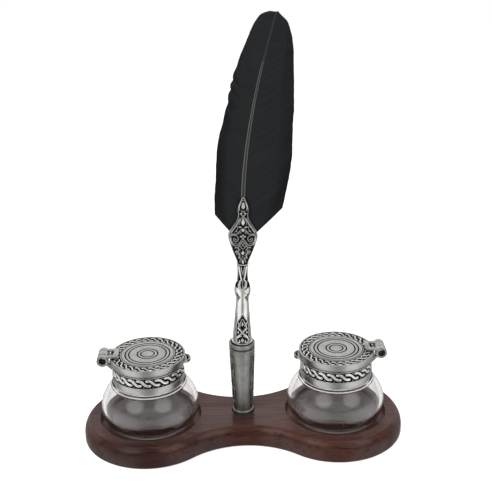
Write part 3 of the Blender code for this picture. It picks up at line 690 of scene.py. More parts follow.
collar_points = ease_corners([
    (collar_bore, collar_top), (collar_radius, collar_top), (collar_radius, band_high),
    (collar_radius - band_depth, band_high), (collar_radius - band_depth, band_low),
    (collar_radius, band_low), (collar_radius, collar_bottom), (collar_bore, collar_bottom),
    (collar_bore, collar_top - lip_thickness),
    (lip_bore, collar_top - lip_thickness), (lip_bore, collar_top)], 0.00035)
bright_edges = make_pewter("bright_edges", (0.82, 0.815, 0.79), (0.68, 0.675, 0.65), 0.34)
plait = bmesh.new()
lay_plait(plait, 2 * math.pi * collar_radius, plait_crossings, plait_reach, plait_half_width, band_depth)
for side in ("left", "right"):
    bm = turn_profile(collar_points, 160, closed=True)
    for face in bm.faces:
        spot = face.calc_center_median()
        if band_low < spot.z < band_high and collar_bore + 0.0004 < spot.xy.length < collar_radius - 0.0002:
            face.material_index = 1
    first_turn = plait_first_turns[side] - (math.pi if side == "right" else 0)

    def on_collar(spot):
        reach, turn = collar_radius - band_depth + spot.z, first_turn + spot.x / collar_radius
        return Vector((reach * math.cos(turn), reach * math.sin(turn), (band_low + band_high) / 2 + spot.y))
    join_to(bm, plait, on_collar, finish=2)
    lug_top = collar_top - 0.0002
    lug = cut_plate([(-collar_bore - 0.0006, lug_top), (-collar_bore - 0.0006, collar_top - lug_depth),
                     (-collar_radius, collar_top - lug_depth),
                     (-hinge_reach, hinge_level - knuckle_radius + fit_gap),
                     (-hinge_reach, hinge_level - pin_bore),
                     (-collar_radius - 0.0015, lug_top)], -middle_half, middle_half, 0.00025)
    join_to(bm, lug)
    join_to(bm, turn_hinge_ring(-middle_half, middle_half))
    turn_to_side(bm, side)
    bmesh.ops.remove_doubles(bm, verts=bm.verts, dist=2e-6)
    collar = make_piece(f"{side}_pewter_collar", bm, [satin_pewter, black_ground, bright_edges],
                        f"{side}_inkwell", 50)
    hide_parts(f"{side}_collar")

# The hinge pins are coloured near black as painted shade, for the shade deep inside the knuckles' bores.
painted_shade_steel = make_pewter("painted_shade_steel", (0.05, 0.05, 0.05), (0.02, 0.02, 0.02), 0.5)
for side in ("left", "right"):
    finish_node(f"{side}_hinge_pin", painted_shade_steel)


# Lids: cast pewter discs with a flared side and a plug that enters the neck. Their tops are
# engraved with two pairs of rings, inside a finer plait on a blackened border.
lid_low = collar_top + fit_gap
lid_high = lid_low + 0.0047
lid_radius = collar_radius + 0.0009
border_outer = lid_radius - 0.0011
border_inner = border_outer - 0.0052
border_depth = 0.0004
plug_radius = bore_radius - 0.0007
plug_low = lid_low - 0.0020
engraved_radii = (0.0041, 0.0063, 0.0115, 0.0137)
engraved_half_width = 0.00043
engraved_depth = 0.00034
lid_crossings = 28
fine_plait_reach = 0.00160
fine_plait_half_width = 0.00046
lid_first_turns = {"left": math.radians(2), "right": math.radians(6)}

lid_points = [(0, lid_high)]
for radius in engraved_radii:
    lid_points += [(radius - engraved_half_width, lid_high), (radius, lid_high - engraved_depth),
                   (radius + engraved_half_width, lid_high)]
lid_points += [(border_inner - 0.0009, lid_high), (border_inner - 0.0007, lid_high - 0.0001),
               (border_inner - 0.0005, lid_high)]
lid_points += ease_corners([
    (border_inner - 0.0003, lid_high), (border_inner, lid_high), (border_inner, lid_high - border_depth),
    (border_outer, lid_high - border_depth), (border_outer, lid_high), (lid_radius, lid_high),
    (lid_radius - 0.00015, lid_high - 0.0016), (lid_radius - 0.0005, lid_high - 0.0032),
    (lid_radius - 0.0009, lid_low), (plug_radius, lid_low), (plug_radius, plug_low), (0, plug_low)], 0.0003)
border_middle = (border_inner + border_outer) / 2
fine_plait = bmesh.new()
lay_plait(fine_plait, 2 * math.pi * border_middle, lid_crossings, fine_plait_reach, fine_plait_half_width,
          border_depth, studded=False)
for side in ("left", "right"):
    bm = turn_profile(lid_points, 160)
    for face in bm.faces:
        spot = face.calc_center_median()
        radius = spot.xy.length
        in_border = border_inner + 0.0001 < radius < border_outer - 0.0001 and spot.z > lid_high - 0.0006
        engraved = radius < border_inner - 0.0004 and lid_high - 0.0003 < spot.z < lid_high - 0.00004
        face.material_index = 1 if in_border or engraved else 0
    first_turn = lid_first_turns[side]

    def on_lid(spot):
        reach, turn = border_middle - spot.y, first_turn + spot.x / border_middle
        return Vector((reach * math.cos(turn), reach * math.sin(turn), lid_high - border_depth + spot.z))
    join_to(bm, fine_plait, on_lid, finish=2)
    turn_to_side(bm, side)
    bmesh.ops.remove_doubles(bm, verts=bm.verts, dist=2e-6)
    lid = make_piece(f"{side}_pewter_lid", bm, [satin_pewter, black_ground, bright_edges],
                     f"{side}_lid", 30)
    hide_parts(f"{side}_lid")


# Hinge straps and thumb tabs: pewter castings soldered to the lids. The strap forks into the front
# and back ears of the hinge, and the tab opposite is a half-round lip with a dished top.
ear_start = middle_half + fit_gap
ear_end = ear_start + 0.0035
strap_low = lid_high + fit_gap
strap_high = strap_low + 0.0011
strap_inner = hinge_reach - 0.0039 - 0.0056
strap_corner = 0.0015
strap_notch = strap_inner + 0.0030
strap_half = ear_end - 0.0003
notch_half = ear_start + 0.0003
tab_half_width = 0.0050
tab_length = 0.0032
tab_overlap = 0.0007
tab_high = lid_low + 0.0016
tab_rim = 0.0009
tab_dish = 0.0006

for side in ("left", "right"):
    corner = [(strap_inner + strap_corner * (1 - math.cos(turn)),
               strap_half - strap_corner * (1 - math.sin(turn)))
              for turn in (math.pi / 2 * i / 4 for i in range(5))]
    half = corner + [(hinge_reach, strap_half), (hinge_reach, notch_half), (strap_notch + 0.0004, notch_half),
                     (strap_notch, notch_half - 0.0004)]
    outline = ([(-across, along) for across, along in half]
               + [(-across, -along) for across, along in reversed(half)])
    bm = cut_plate(outline, strap_low, strap_high, 0.0003)
    bmesh.ops.rotate(bm, verts=bm.verts, matrix=Matrix(((1, 0, 0), (0, 0, 1), (0, 1, 0))))
    for start, end in ((-ear_end, -ear_start), (ear_start, ear_end)):
        join_to(bm, turn_hinge_ring(start, end))
    turn_to_side(bm, side)
    strap = make_piece(f"{side}_forked_strap", bm, [satin_pewter], f"{side}_lid", 40)
    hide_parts(f"{side}_hinge_strap")

    bm = bmesh.new()
    start = lid_radius - tab_overlap
    rim = [(start, -tab_half_width)]
    rim += [(start + (tab_length + tab_overlap) * math.cos(turn), tab_half_width * math.sin(turn))
            for turn in (math.pi * (i / 24 - 0.5) for i in range(1, 24))] + [(start, tab_half_width)]
    face = bm.faces.new([bm.verts.new((*point, lid_low)) for point in rim])
    made = bmesh.ops.extrude_face_region(bm, geom=[face], use_keep_orig=True)["geom"]
    top = next(item for item in made if isinstance(item, bmesh.types.BMFace))
    bmesh.ops.translate(bm, verts=top.verts, vec=(0, 0, tab_high - lid_low))
    bmesh.ops.recalc_face_normals(bm, faces=bm.faces)
    for share, depth in ((0.25, 0.00012), (0.55, 0.0), (0.2, -tab_dish * 0.6), (0.5, -tab_dish * 0.4)):
        bmesh.ops.inset_region(bm, faces=[top], use_boundary=True, use_even_offset=True,
                               thickness=tab_rim * share, depth=depth)
    top.material_index = 1
    turn_to_side(bm, side)
    tab = make_piece(f"{side}_dished_tab", bm, [satin_pewter, black_ground], f"{side}_lid", 40)
    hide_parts(f"{side}_thumb_tab")


# Pen handle: one pewter casting, round where it's held and spread into a flat plate that is split
# for the feather. Scrollwork in low relief covers its plate and its lower end, front and back.
pen_lean = math.radians(1.35)
lean_height = 0.0561
pen_bottom = 0.0500
pen_place = (Matrix.Translation((0, holder_set_back, lean_height)) @ Matrix.Rotation(pen_lean, 4, "Y")
             @ Matrix.Translation((0, 0, pen_bottom - lean_height)))
grip_radius = 0.0059
handle_length = 0.1057
plate_half_width = 0.0082
plate_half_thickness = 0.0023
slot_height = 0.0765
slot_half = 0.00074
ferrule_bore = 0.0025
ferrule_bore_depth = 0.0063
flat_low = 0.060
flat_run = 0.010
plate_power = 0.45
ornament_low = 0.0128
ornament_high = 0.0630
arch_half_width = 0.0043
arch_top = 0.0323
neck_low = 0.0478
neck_wrap_radius = 0.0028
# The casting's half width up its height, as (share of its length, half width in metres)
handle_widths = [(height, grip_radius * width) for height, width in (
    (0, 1), (0.115, 1), (0.150, 0.985), (0.195, 0.92), (0.250, 0.83), (0.310, 0.745), (0.355, 0.68),
    (0.382, 0.655), (0.398, 0.67), (0.424, 0.81), (0.447, 0.84), (0.468, 0.78), (0.500, 0.58),
    (0.540, 0.48), (0.590, 0.52))]
handle_widths += [(height, plate_half_width * width) for height, width in (
    (0.626, 0.46), (0.650, 0.58), (0.683, 0.75), (0.705, 0.84), (0.731, 0.96), (0.755, 1.04), (0.776, 1.06),
    (0.802, 0.96), (0.826, 0.79), (0.855, 0.55), (0.879, 0.41), (0.896, 0.38), (0.925, 0.41), (0.949, 0.36),
    (0.978, 0.22), (0.993, 0.12), (1, 0.03))]


def between(rows, place):
    """Read a table of (place, value) rows with smooth runs between them."""
    for i in range(len(rows) - 1):
        (start, low), (end, high) = rows[i], rows[i + 1]
        if place <= end:
            before, after = rows[max(0, i - 1)], rows[min(len(rows) - 1, i + 2)]
            share = (place - start) / (end - start)
            leave = (high - before[1]) / (end - before[0]) * (end - start)
            arrive = (after[1] - low) / (after[0] - start) * (end - start)
            return (low * (1 + 2 * share) * (1 - share) ** 2 + high * share ** 2 * (3 - 2 * share)
                    + leave * share * (1 - share) ** 2 - arrive * share ** 2 * (1 - share))
    return rows[-1][1]


def casting_side(height, turn):
    """Find a point on the casting's side: round low down, and flat with rounded edges in its plate."""
    width = between(handle_widths, height / handle_length)
    flat = min(1, max(0, (height - flat_low) / flat_run))
    flat = flat * flat * (3 - 2 * flat)
    depth = width * (1 - flat) + plate_half_thickness * flat
    power = 1 - (1 - plate_power) * flat
    across, out = math.cos(turn), math.sin(turn)
    return Vector((width * math.copysign(abs(across) ** power, across),
                   depth * math.copysign(abs(out) ** power, out), height))


rows = [handle_length * i / 150 for i in range(151)]
rows = [0, 0.0002, 0.0006] + [row for row in rows[1:] if abs(row - slot_height) > 0.0003]
rows = sorted(rows + [slot_height, slot_height])
top_row = rows.index(slot_height)
bm = bmesh.new()
for side in (-1, 1):
    for vert in bmesh.ops.create_grid(bm, x_segments=36, y_segments=len(rows) - 1, size=1)["verts"]:
        row = round((vert.co.y + 1) / 2 * (len(rows) - 1))
        spot = casting_side(rows[row], side * math.pi * (vert.co.x + 1) / 2)
        if row == 0:
            spot.xy *= 0.93
        elif row == 1:
            spot.xy *= 0.98
        if row > top_row and abs(spot.y) < slot_half:
            spot.y = side * slot_half
        vert.co = spot
    slot_rows = len(rows) - 2 - top_row
    for vert in bmesh.ops.create_grid(bm, x_segments=8, y_segments=slot_rows, size=1)["verts"]:
        row = top_row + 1 + round((vert.co.y + 1) / 2 * slot_rows)
        edge = casting_side(rows[row], 0).x
        vert.co = (edge * vert.co.x, side * slot_half, rows[row])
edge = casting_side(slot_height, 0).x
for vert in bmesh.ops.create_grid(bm, x_segments=8, y_segments=1, size=1)["verts"]:
    vert.co = (edge * vert.co.x, slot_half * vert.co.y, slot_height)
for face in bm.faces:
    spot = face.calc_center_median()
    width = between(handle_widths, spot.z / handle_length)
    in_plate = spot.z > ornament_high and abs(spot.x) < width - 0.0006 and abs(spot.y) > 0.0016
    arc = grip_radius * math.atan2(abs(spot.x), abs(spot.y))
    in_foot = spot.z > ornament_low and arc < min(arch_half_width, (arch_top - spot.z) * 0.75)
    in_neck = neck_low + 0.0020 * (abs(spot.x) / width) < spot.z <= ornament_high
    face.material_index = 1 if in_plate or in_foot or in_neck else 0
bmesh.ops.remove_doubles(bm, verts=bm.verts, dist=2e-6)
join_to(bm, turn_profile([(grip_radius * 0.93, 0), (ferrule_bore + 0.0002, 0), (ferrule_bore, 0.0002),
                          (ferrule_bore, ferrule_bore_depth), (0, ferrule_bore_depth)], 48))

mm = 0.001
plate_wires = bmesh.new()
neck_wires = bmesh.new()
foot_wires = bmesh.new()


def trace(points, half_width=0.00036, half_height=0.0005, mirror=True, steps=None, target=plate_wires):
    """Lay one stroke of the scrollwork, in mm across and down from the plate's top, and mirror it."""
    for side in (1, -1) if mirror else (1,):
        route = through([(side * across * mm, -down * mm) for across, down in points])
        lay_wire(target, route, half_width, half_height, steps or 7 * len(points), 6, look=0.02)


def trace_drop(across, down, half_width, half_length, lean=0.0, target=plate_wires, half_height=0.0007):
    """Lay one leaf of the scrollwork, and its mirror image unless it's on the centre line."""
    for side in (1, -1) if across else (1,):
        lay_drop(target, (side * across * mm, -down * mm), half_width * mm, half_length * mm, half_height,
                 side * math.radians(lean))


# The plate's rim and the beads inside it, then its scrolls and leaves from the top down
rim = [0.0004 + 0.0415 * i / 46 for i in range(47)]
trace([((casting_side(handle_length - down, 0).x - 0.0004) * 1000, down * 1000) for down in rim],
      0.00036, 0.0006, steps=200)
for i in range(9):
    down = 13.0 + 1.25 * i
    across = casting_side(handle_length - down * mm, 0).x * 1000 - 1.25
    if across > 1.6:
        trace_drop(across, down, 0.33, 0.42)
trace([(0, 1.6), (0.9, 2.3), (1.9, 4.6), (2.3, 6.4), (1.9, 8.3)], 0.00028)
trace_drop(0, 5.2, 1.15, 2.3, half_height=0.0008)
for down in (3.6, 4.8, 6.0):
    trace([(0, down + 1.0), (0.9, down)], 0.00018, 0.0011)
trace([(-1.2, 8.0), (0, 8.8), (1.2, 8.0)], mirror=False)
trace_drop(0.9, 9.6, 0.55, 0.55)
trace([(-2.0, 9.6), (0, 11.6), (2.3, 14.2), (3.6, 16.8), (5.6, 19.6), (7.2, 22.2)], 0.00042, 0.0006)
trace([(-0.9, 11.0), (0.9, 12.6), (2.0, 15.6), (2.2, 17.0)], 0.00024, 0.0004)
trace_drop(0, 15.0, 1.1, 2.4, half_height=0.0009)
trace([(0, 13.2), (0, 17.2)], 0.00016, 0.0013, mirror=False)
trace_drop(1.7, 18.2, 1.2, 0.55, 20)
trace_drop(0, 20.3, 0.9, 1.0)
trace([(0, 19.0), (1.6, 20.2), (2.7, 22.0), (4.3, 22.6), (6.2, 22.5), (7.6, 23.2)], 0.00034)
trace([(7.2, 23.6), (7.5, 25.6), (6.8, 28.0), (5.2, 29.6), (3.2, 29.4), (1.6, 27.4), (0, 25.4),
       (-1.2, 23.9)], 0.00037, 0.0006)
trace([(7.2, 23.6), (5.0, 23.2), (3.3, 24.0), (2.8, 25.8), (3.8, 27.2), (5.2, 26.8), (5.5, 25.5),
       (4.6, 24.9)], 0.00033, 0.0006)
trace_drop(4.3, 25.9, 0.5, 0.5)
trace_drop(1.2, 24.0, 1.0, 0.45, -25)
trace([(6.6, 24.6), (6.9, 26.0), (6.1, 27.8), (4.8, 28.6), (3.4, 28.2)], 0.00022, 0.0004)
trace([(2.0, 22.6), (1.2, 21.6), (2.2, 21.0), (3.4, 21.6)], 0.00022, 0.0004)
trace([(5.0, 21.6), (3.8, 20.4), (3.0, 18.4), (3.6, 17.9)], 0.00024, 0.0004)
trace_drop(3.9, 20.6, 0.45, 0.55)
trace_drop(0, 23.3, 0.7, 0.5)
trace([(3.0, 30.4), (1.9, 29.6), (2.6, 31.4), (1.3, 32.6)], 0.00022, 0.0004)
trace([(1.6, 33.4), (1.9, 35.2), (0.9, 36.6)], 0.00024, 0.0004)
trace([(3.9, 32.2), (3.3, 33.2), (3.7, 34.6), (3.1, 35.8)], 0.00024, 0.0004)
trace([(0.7, 37.2), (1.5, 38.6), (1.7, 40.4)], 0.00022, 0.0004)
trace([(0, 27.0), (1.8, 29.4), (0, 31.9), (-1.8, 29.4), (0, 27.0)], 0.00030, mirror=False)
trace([(-1.0, 28.2), (1.0, 30.6)], 0.00024, 0.0004)
trace([(4.9, 31.2), (3.4, 30.9), (2.3, 32.2), (2.9, 34.0), (2.0, 36.2), (2.6, 38.0)], 0.00040, 0.0006)
trace_drop(4.2, 33.6, 0.55, 0.6)
trace_drop(0, 34.3, 1.0, 1.4, half_height=0.0009)
trace([(0, 36.0), (0, 39.0)], 0.00028, mirror=False)
trace([(2.6, 36.6), (1.2, 37.8), (0.6, 39.4)], 0.00030)
trace_drop(0, 39.9, 0.8, 1.4)

# The neck's flutes and the leaf that laps over the bulge, in mm across and down from the plate's top
trace([(2.3, 42.6), (1.9, 45.4), (1.1, 49.4), (0.5, 51.4)], 0.00048, 0.0006, target=neck_wires)
trace([(0.9, 42.8), (0.6, 45.2), (0, 48.2)], 0.00026, 0.0004, target=neck_wires)
trace([(3.9, 42.4), (3.8, 46.5), (3.6, 50.5), (3.0, 53.2)], 0.00040, 0.0005, target=neck_wires)
trace([(-0.5, 50.8), (-1.5, 53.2), (-1.3, 56.0), (0, 58.6), (0.8, 60.2)], 0.00058, 0.0008, False,
      target=neck_wires)
trace([(0.5, 50.8), (1.5, 52.8), (1.1, 55.4), (0.2, 56.8), (0.9, 58.4), (2.2, 59.4)], 0.00052, 0.0008,
      False, target=neck_wires)
trace([(0, 51.4), (-0.1, 54.0), (0, 56.0)], 0.00032, 0.0006, False, target=neck_wires)
lay_wire(neck_wires, lambda share: Vector(((share - 0.5) * math.pi * neck_wrap_radius, -0.0418, 0)),
         0.00042, 0.0006, 48, 6, pointed=False)

# The lower end's arch, ring, crossing and scrolls, in mm round the side and up from the handle's foot
foot_top = handle_length * 1000


def trace_foot(points, half_width, half_height=0.0006, mirror=True):
    """Lay one stroke of the lower end's scrollwork, in mm round the side and up from the foot."""
    trace([(across, foot_top - up) for across, up in points], half_width, half_height, mirror,
          target=foot_wires)


trace_foot([(4.3, 13.2), (4.35, 18.0), (4.3, 24.0), (3.9, 27.0), (2.2, 30.0), (0, 32.6)], 0.00044, 0.0006)
trace_foot([(-1.5, 24.0), (-1.6, 26.4), (0, 29.4), (1.6, 26.4), (1.5, 24.0)], 0.00034, 0.0006, mirror=False)
trace_drop(0, foot_top - 26.0, 0.8, 1.5, target=foot_wires)
trace_foot([(3.6, 27.0), (2.4, 26.2), (2.6, 24.0), (3.4, 22.6)], 0.00042, 0.0006)
trace_foot([(-3.0, 23.4), (-1.2, 22.0), (0, 20.4), (2.2, 18.6), (3.6, 16.6)], 0.00062, 0.0008)
trace_drop(2.9, foot_top - 20.6, 0.8, 0.9, target=foot_wires)
trace_foot([(0.5, 18.4), (1.7, 18.0), (3.2, 16.8), (3.5, 14.9), (2.4, 13.9), (1.5, 14.8), (1.9, 16.0)],
           0.00046, 0.0008)
trace_drop(0, foot_top - 15.6, 0.9, 1.6, target=foot_wires)
lay_wire(foot_wires, lambda share: Vector(((share - 0.5) * math.pi * grip_radius, 0.0129 - handle_length, 0)),
         0.00045, 0.0006, 60, 6, pointed=False)

for facing in (1, -1):
    def on_plate(spot):
        height = handle_length + spot.y
        width = max(0.0002, between(handle_widths, height / handle_length))
        share = min(0.999, abs(spot.x) / width)
        flatness = 1 / plate_power if height > flat_low + flat_run else 1
        reach = casting_side(height, math.acos(share ** flatness)).y
        return Vector((facing * spot.x, -facing * (abs(reach) + spot.z - 0.0001), height))

    def on_round(spot):
        height = handle_length + spot.y
        radius = between(handle_widths, height / handle_length)
        turn = spot.x / (grip_radius if height < 0.035 else neck_wrap_radius)
        out = facing * (radius + spot.z)
        return Vector((out * math.sin(turn), -out * math.cos(turn), height))

    for wires, place in ((plate_wires, on_plate), (neck_wires, on_round), (foot_wires, on_round)):
        join_to(bm, wires, place, finish=2)
bmesh.ops.transform(bm, matrix=pen_place, verts=bm.verts)
handle = make_piece("quill_pen_handle", bm, [polished_pewter, black_ground, bright_edges], "pen",
                    45)
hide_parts("pen_handle")


# Ferrule and nib: a turned pewter socket that plugs into the handle, and a split nib pressed from
# spring steel and pushed into it. Both hide in the holder until the pen is lifted.
ferrule_length = 0.0085
nib_radius = 0.0024
nib_wall = 0.0004
nib_length = 0.0205
nib_eye_drop = 0.0092
nib_slit_end = 0.0195
nib_half_wrap = math.radians(80)
nib_top = -ferrule_length + 0.0055
bm = turn_profile(ease_corners([
    (0, 0.0060), (0.0022, 0.0060), (0.0022, -0.0003), (0.0037, -0.0003), (0.0037, -0.0012), (0.0034, -0.0016),
    (0.0037, -0.0020), (0.0037, -0.0042), (nib_radius + 0.0007, -ferrule_length),
    (nib_radius + 0.0003, -ferrule_length), (nib_radius + 0.0003, nib_top + 0.0003), (0, nib_top + 0.0003)],
    0.0002), 48)
bmesh.ops.transform(bm, matrix=pen_place, verts=bm.verts)
ferrule = make_piece("turned_ferrule", bm, [polished_pewter], "pen", 35)
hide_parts("nib_ferrule")

spring_steel = make_pewter("spring_steel", (0.42, 0.43, 0.45), (0.25, 0.24, 0.23), 0.22, (1, 1, 0.1))
bm = bmesh.new()
for vert in bmesh.ops.create_grid(bm, x_segments=24, y_segments=48, size=1)["verts"]:
    down = (1 - vert.co.y) / 2
    taper = max(0, down - 0.35) / 0.65
    wrap = nib_half_wrap * (1 - 0.93 * taper ** 1.3)
    share = vert.co.x
    if 0.45 < down < 0.995 and abs(share) > 0.001:
        share += math.copysign(max(0, 0.035 - abs(share)) * 0.9, share)
    middle = nib_radius - nib_wall / 2
    vert.co = (middle * math.sin(wrap * share), -middle * math.cos(wrap * share), nib_top - nib_length * down)
cut = []
for face in bm.faces:
    spot = face.calc_center_median()
    in_slit = abs(spot.x) < 0.00015 and nib_top - nib_slit_end < spot.z < nib_top - nib_eye_drop
    in_eye = abs(spot.x) < 0.0005 and abs(spot.z - nib_top + nib_eye_drop) < 0.0005
    if in_slit or in_eye:
        cut.append(face)
bmesh.ops.delete(bm, geom=cut, context="FACES")
bmesh.ops.solidify(bm, geom=bm.faces, thickness=nib_wall)
bmesh.ops.transform(bm, matrix=pen_place, verts=bm.verts)
nib = make_piece("split_nib", bm, [spring_steel], "pen", 40)
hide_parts("nib")


# Feather: a goose quill dyed black. Its pale-edged quill bends to the right, and its two webs are
# barbs that cling together, with small gaps and a worn, scalloped left edge.
feather_length = 0.1328
feather_bend = 0.0175
feather_bow = 0.0040
quill_radius = 0.00125
quill_tip_radius = 0.0003
quill_broadening = 1.25
left_web_width = 0.0172
right_web_width = 0.0274
web_thickness = 0.00022
web_lift = 0.0015
web_columns = 20
barb_count = 520
barb_curve = 0.13
barb_step = 0.00008
edge_wear = 0.00025
scallop_depth = 0.0009
scallop_rate = 46.0
scallop_start = 0.53
scallop_run = 0.30
# The outer ends of the webs, as (share of the feather's length, share of each web's width)
left_web_rows = [
    (0.137, 0.96), (0.235, 0.965), (0.290, 0.94), (0.395, 0.975), (0.445, 0.98), (0.500, 0.955),
    (0.550, 0.90), (0.650, 0.86), (0.700, 0.86), (0.797, 0.80), (0.846, 0.74), (0.893, 0.68),
    (0.939, 0.62), (0.961, 0.57), (0.985, 0.47), (0.994, 0.36), (1, 0.20)]
right_web_rows = [
    (0.167, 0.84), (0.235, 0.905), (0.290, 0.94), (0.340, 0.96), (0.395, 0.967), (0.445, 0.94),
    (0.550, 0.875), (0.600, 0.845), (0.700, 0.745), (0.797, 0.625), (0.846, 0.56), (0.893, 0.47),
    (0.939, 0.35), (0.961, 0.27), (0.985, 0.12), (1, 0.03)]


def quill_place(height):
    """Find the quill's middle at a height from the lower end of the handle."""
    web_share = max(0, (height - slot_height) / feather_length)
    clear_share = max(0, (height - handle_length) / (slot_height + feather_length - handle_length))
    return Vector((feather_bend * clear_share ** 1.7, feather_bow * web_share ** 2, height))


def quill_size(height):
    """Find the quill's half width, before it is flattened, at a height from the handle's lower end."""
    share = max(0, (height - slot_height) / feather_length)
    return quill_radius + (quill_tip_radius - quill_radius) * share


dyed_barbs, tree, shader = new_finish("dyed_barbs", (0.011, 0.011, 0.012), 0.62, Specular_IOR_Level=0.16)
barb_tone = tree.nodes.new("ShaderNodeAttribute")
barb_tone.attribute_name = "barb_tone"
tree.links.new(add_ramp(tree, barb_tone.outputs["Fac"], [
    (0.0, (0.004, 0.0045, 0.005)), (0.5, (0.0095, 0.0102, 0.0112)), (1.0, (0.017, 0.0183, 0.020))]),
    shader.inputs["Base Color"])


def make_web(side, direction, width, edge_rows):
    """Lay one web as a sheet of barbs, each from the quill up and out to the feather's edge."""
    first = edge_rows[0][0]
    bm = bmesh.new()
    tone = bm.verts.layers.float.new("barb_tone")
    for vert in bmesh.ops.create_grid(bm, x_segments=web_columns, y_segments=barb_count, size=1)["verts"]:
        barb, out = (vert.co.y + 1) / 2, (vert.co.x + 1) / 2
        count = round(barb * barb_count)
        odd = 1 if count % 2 else -1
        root_height = slot_height + feather_length * barb * (0.985 + 0.013 * barb ** 8)
        edge_share = first + (1 - first) * barb ** 0.9
        root = quill_place(root_height) + Vector((direction * quill_size(root_height) * 0.7, 0, 0))
        reach = width * between(edge_rows, min(1, edge_share))
        worn = noise.noise(Vector((count * 0.05, direction * 3.0, 0))) * edge_wear
        if direction < 0:
            bite = math.sin(math.pi * min(1, max(0, (edge_share - scallop_start) / scallop_run)))
            uneven = 4 * noise.noise(Vector((barb * 5, 0, 0)))
            worn += bite * scallop_depth * (abs(math.sin(edge_share * scallop_rate + uneven)) - 0.5)
        edge = quill_place(slot_height + feather_length * edge_share)
        edge.x += direction * (reach + worn)
        sweep = out + barb_curve * math.sin(math.pi * out) * (1 - barb) * min(1, barb * 6 + 0.15)
        spot = root.lerp(edge, out)
        spot.x = root.x + (edge.x - root.x) * sweep
        ripple = noise.noise(Vector((barb * 9, out * 2, direction))) * 0.0004
        spot.y += web_lift * out ** 2 * barb + ripple * out + odd * barb_step * math.sin(math.pi / 2 * out)
        vert.co = spot
        streak = noise.noise(Vector((count * 0.35, out * 1.5, direction * 5))) * 0.32
        vert[tone] = 0.45 + streak + 0.08 * odd
    bmesh.ops.solidify(bm, geom=bm.faces, thickness=web_thickness)
    bmesh.ops.transform(bm, matrix=pen_place, verts=bm.verts)
    web = make_piece(f"{side}_feather_web", bm, [dyed_barbs], "pen", 70)
    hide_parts(f"feather_vane_{side}")


make_web("left", -1, left_web_width, left_web_rows)
make_web("right", 1, right_web_width, right_web_rows)

quill_black = new_finish("dyed_quill", (0.012, 0.012, 0.012), 0.3, Specular_IOR_Level=0.5)[0]
quill_edge = new_finish("worn_quill_edge", (0.085, 0.085, 0.082), 0.5)[0]
bm = bmesh.new()
for vert in bmesh.ops.create_grid(bm, x_segments=32, y_segments=160, size=1)["verts"]:
    height = slot_height + (feather_length - 0.0003) * (vert.co.y + 1) / 2
    turn, size = math.pi * vert.co.x, quill_size(height)
    groove = max(0, 1 - abs(abs(turn) - math.pi / 2) * 3.2) * 0.0002 * (1 if turn < 0 else 0.4)
    section = Vector((size * quill_broadening * math.cos(turn), (size * 0.55 - groove) * math.sin(turn), 0))
    vert.co = quill_place(height) + section
for face in bm.faces:
    spot = face.calc_center_median()
    share = (spot.x - quill_place(spot.z).x) / (quill_size(spot.z) * quill_broadening)
    face.material_index = 1 if 0.5 < abs(share) < 0.86 and spot.z < slot_height + feather_length * 0.8 else 0
bmesh.ops.holes_fill(bm, edges=[edge for edge in bm.edges if edge.is_boundary], sides=0)
bmesh.ops.transform(bm, matrix=pen_place, verts=bm.verts)
quill = make_piece("flattened_quill", bm, [quill_black, quill_edge], "pen", 60)
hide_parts("feather_shaft")


# Studio: a white sweep under and behind the stand, in a white tent whose front is open and dark
# round the camera, with a softbox on either side and one above. The sweep keeps the soft shadow.
floor_size = 4.0
floor_glow = 0.81
floor_glow_in_glass = 0.64
floor_tint_in_glass = (1.0, 0.95, 0.93, 1)
tent_dusk = (0.40, 0.40, 0.40, 1)
tent_light = (0.62, 0.62, 0.62, 1)
tent_in_glass = (0.56, 0.545, 0.55, 1)
tent_patch = (2.1, 2.1, 2.1, 1)
softbox_size = 0.30
softbox_power = 7.0
key_color = (1.0, 0.995, 0.985)


def combine(tree, operation, first, second):
    """Join two values, sockets or numbers, with a Math node."""
    node = tree.nodes.new("ShaderNodeMath")
    node.operation = operation
    for i, value in enumerate((first, second)):
        if isinstance(value, (int, float)):
            node.inputs[i].default_value = value
        else:
            tree.links.new(value, node.inputs[i])
    return node.outputs["Value"]


def rise(tree, value, start, end):
    """Spread a value's run from start to end smoothly over 0 to 1."""
    spread = tree.nodes.new("ShaderNodeMapRange")
    spread.interpolation_type = "SMOOTHSTEP"
    spread.inputs["From Min"].default_value = start
    spread.inputs["From Max"].default_value = end
    tree.links.new(value, spread.inputs["Value"])
    return spread.outputs["Result"]


bm = bmesh.new()
bmesh.ops.create_grid(bm, x_segments=2, y_segments=2, size=floor_size / 2)
floor_mesh = bpy.data.meshes.new("white_floor")
bm.to_mesh(floor_mesh)
bm.free()
floor = bpy.data.objects.new("white_floor", floor_mesh)
bpy.context.scene.collection.objects.link(floor)
sweep = bpy.data.materials.new("white_sweep")
sweep.use_nodes = True
tree = sweep.node_tree
tree.nodes.clear()
matt = tree.nodes.new("ShaderNodeBsdfDiffuse")
matt.inputs["Color"].default_value = (0.36, 0.36, 0.36, 1)
glow = tree.nodes.new("ShaderNodeEmission")
both = tree.nodes.new("ShaderNodeAddShader")
output = tree.nodes.new("ShaderNodeOutputMaterial")
path = tree.nodes.new("ShaderNodeLightPath")
seen_glow = combine(tree, "MULTIPLY", path.outputs["Is Camera Ray"], floor_glow)
glass_glow = combine(tree, "MULTIPLY", path.outputs["Is Transmission Ray"], floor_glow_in_glass)
tree.links.new(combine(tree, "ADD", seen_glow, glass_glow), glow.inputs["Strength"])
tree.links.new(mix_colors(tree, path.outputs["Is Transmission Ray"], (1, 1, 1, 1), floor_tint_in_glass),
               glow.inputs["Color"])
tree.links.new(matt.outputs["BSDF"], both.inputs[0])
tree.links.new(glow.outputs["Emission"], both.inputs[1])
tree.links.new(both.outputs["Shader"], output.inputs["Surface"])
floor.data.materials.append(sweep)
floor.visible_glossy = False

